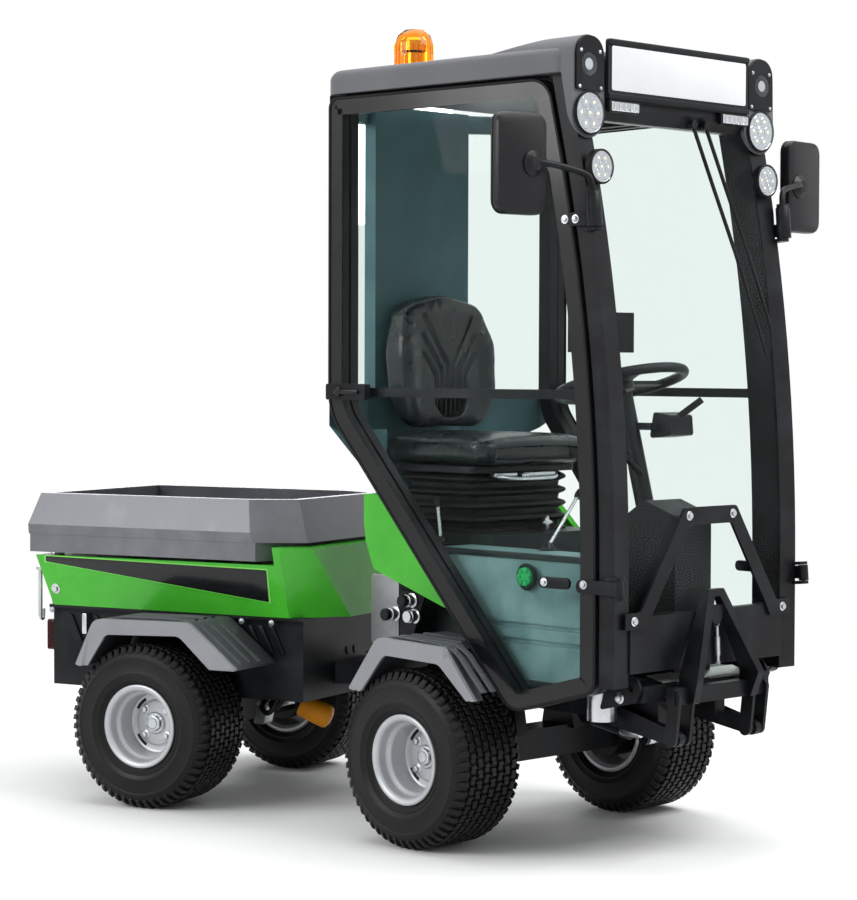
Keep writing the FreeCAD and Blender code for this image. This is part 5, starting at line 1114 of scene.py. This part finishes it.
# Nose: hexagon bolts hold the screen guard and the tool beam's end plates, and a galvanised tread closes the
# gap over the beam. The coupler's locking rod and clip ride on the A-frame; a level link runs back from a lug.
GUARD_FACE_X = 604.1
guard_bolts = []
for y, z in ((-85, 865), (85, 865), (-290, 616), (290, 616)):
    guard_bolts.append(upright(bolt(8, 5.5), (GUARD_FACE_X, y, z), (1, 0, 0)))
plated("guard_bolts", gathered(*guard_bolts))
plate_bolts = []
for side in (-1, 1):
    one = bolt(10, 8) if side > 0 else outward(bolt(10, 8))
    plate_bolts.append(moved(one, (525, side * 253.2, 419)))
plated("beam_plate_bolts", gathered(*plate_bolts))
galvanised = coated_steel("galvanised_sheet", "#b9bdb8", "#a3a8a4", 0.34, 6.0, metal=0.9, wear=0.2)
tread = slab([(-168, 0), (168, 0), (168, 2), (-168, 2)], 0, 58, 0.4, "X")
bmesh.ops.rotate(tread, verts=tread.verts, cent=(0, 0, 0), matrix=Matrix.Rotation(0.22, 3, "Y"))
settle("beam_tread", moved(tread, (536, 0, 467)), FRONT, "front_unit", galvanised)
lock = gathered(tube([(606, 22, 584), (606, 27, 492)], 5, 3), tube([(606, 23.4, 558), (606, 26, 510)], 7.5, 3),
                upright(bolt(6, 5), (606, 27, 494), (0, 0, -1)))
plated("coupler_lock_rod", lock, FRONT, "lift_frame")
clip = tube([(613, 22, 588), (604, 22, 590), (600, 23, 582), (604, 24, 574)], 3, 2)
plated("coupler_lock_clip", clip, FRONT, "lift_frame")
half_disc = slab([(-110, 412), (-68, 412), (-70, 400), (-78, 391), (-89, 388), (-100, 391), (-108, 400)],
                 586, 592, 1, "X", 3)
settle("beam_lug", half_disc, FRONT, "front_unit", black_coat)
link_rod = tube([(586, -84, 398), (520, -80, 352), (470, -78, 316), (440, -78, 308), (405, -78, 306)], 6, 3)
link_barrel = turned([(0, -32), (12, -32), (14, -26), (14, 26), (12, 32), (0, 32)], 24, (412, -78, 306),
                     (1, 0, 0))
plated("level_link", gathered(link_rod, link_barrel))


# Under the front of the rear unit: a cast valve block in bare aluminium with its pipe unions, an orange-painted
# return filter beside it, and two bent steel pipes up into the chassis.
cast = coated_steel("sand_cast_aluminium", "#a9abac", "#8f9294", 0.42, 3.0, metal=0.9, wear=0.3)
orange_coat = coated_steel("orange_painted_canister", "#d98a1e", "#c97f1c", 0.38, 2.0)
block = slab([(-930, 262), (-838, 262), (-838, 296.8), (-930, 296.8)], -150, -70, 4, "Y", 6)
ports = [moved(outward(bolt(11, 9)), (x, -150.2, 280)) for x in (-910, -884, -858)]
outlet = slab([(-945, 205), (-905, 205), (-893, 262), (-930, 262)], -140, -95, 4, "Y", 8)
settle("valve_block", gathered(block, outlet), REAR, "rear_unit", cast)
plated("valve_unions", gathered(*ports), REAR, "rear_unit")
canister = turned([(0, 0), (30, 0), (34, 6), (34, 82), (30, 90), (18, 96), (0, 97)], 40, (-800, -110, 268),
                  (0.86, 0.3, -0.42))
settle("return_filter", canister, REAR, "rear_unit", orange_coat)
bracket = slab([(-812, 255), (-786, 255), (-786, 297.5), (-812, 297.5)], -128, -92, 3, "Y", 4)
settle("filter_bracket", bracket, REAR, "rear_unit", black_coat)
pipes = [tube([(-858, -158, 280), (-858, -178, 280), (-850, -192, 262), (-826, -196, 262), (-812, -180, 300)],
              8, 3),
         tube([(-884, -158, 280), (-884, -182, 280), (-876, -200, 250), (-840, -204, 248), (-826, -190, 302)],
              8, 3)]
settle("valve_pipes", gathered(*pipes), REAR, "rear_unit", black_coat)

# Heat shield: embossed aluminised sheet on the side wall of the front chassis, behind the quick couplings.
# The embossing is drawn as an uneven bump.
shield_sheet = coated_steel("embossed_aluminised_sheet", "#8d8f90", "#6f7274", 0.4, 9.0, metal=0.8, wear=0.5)
shield = slab([(-360, 482), (-252, 482), (-252, 672), (-360, 672)], -267, -265.3, 0.5, "Y", 8)
settle("heat_shield", shield, FRONT, "front_unit", shield_sheet)
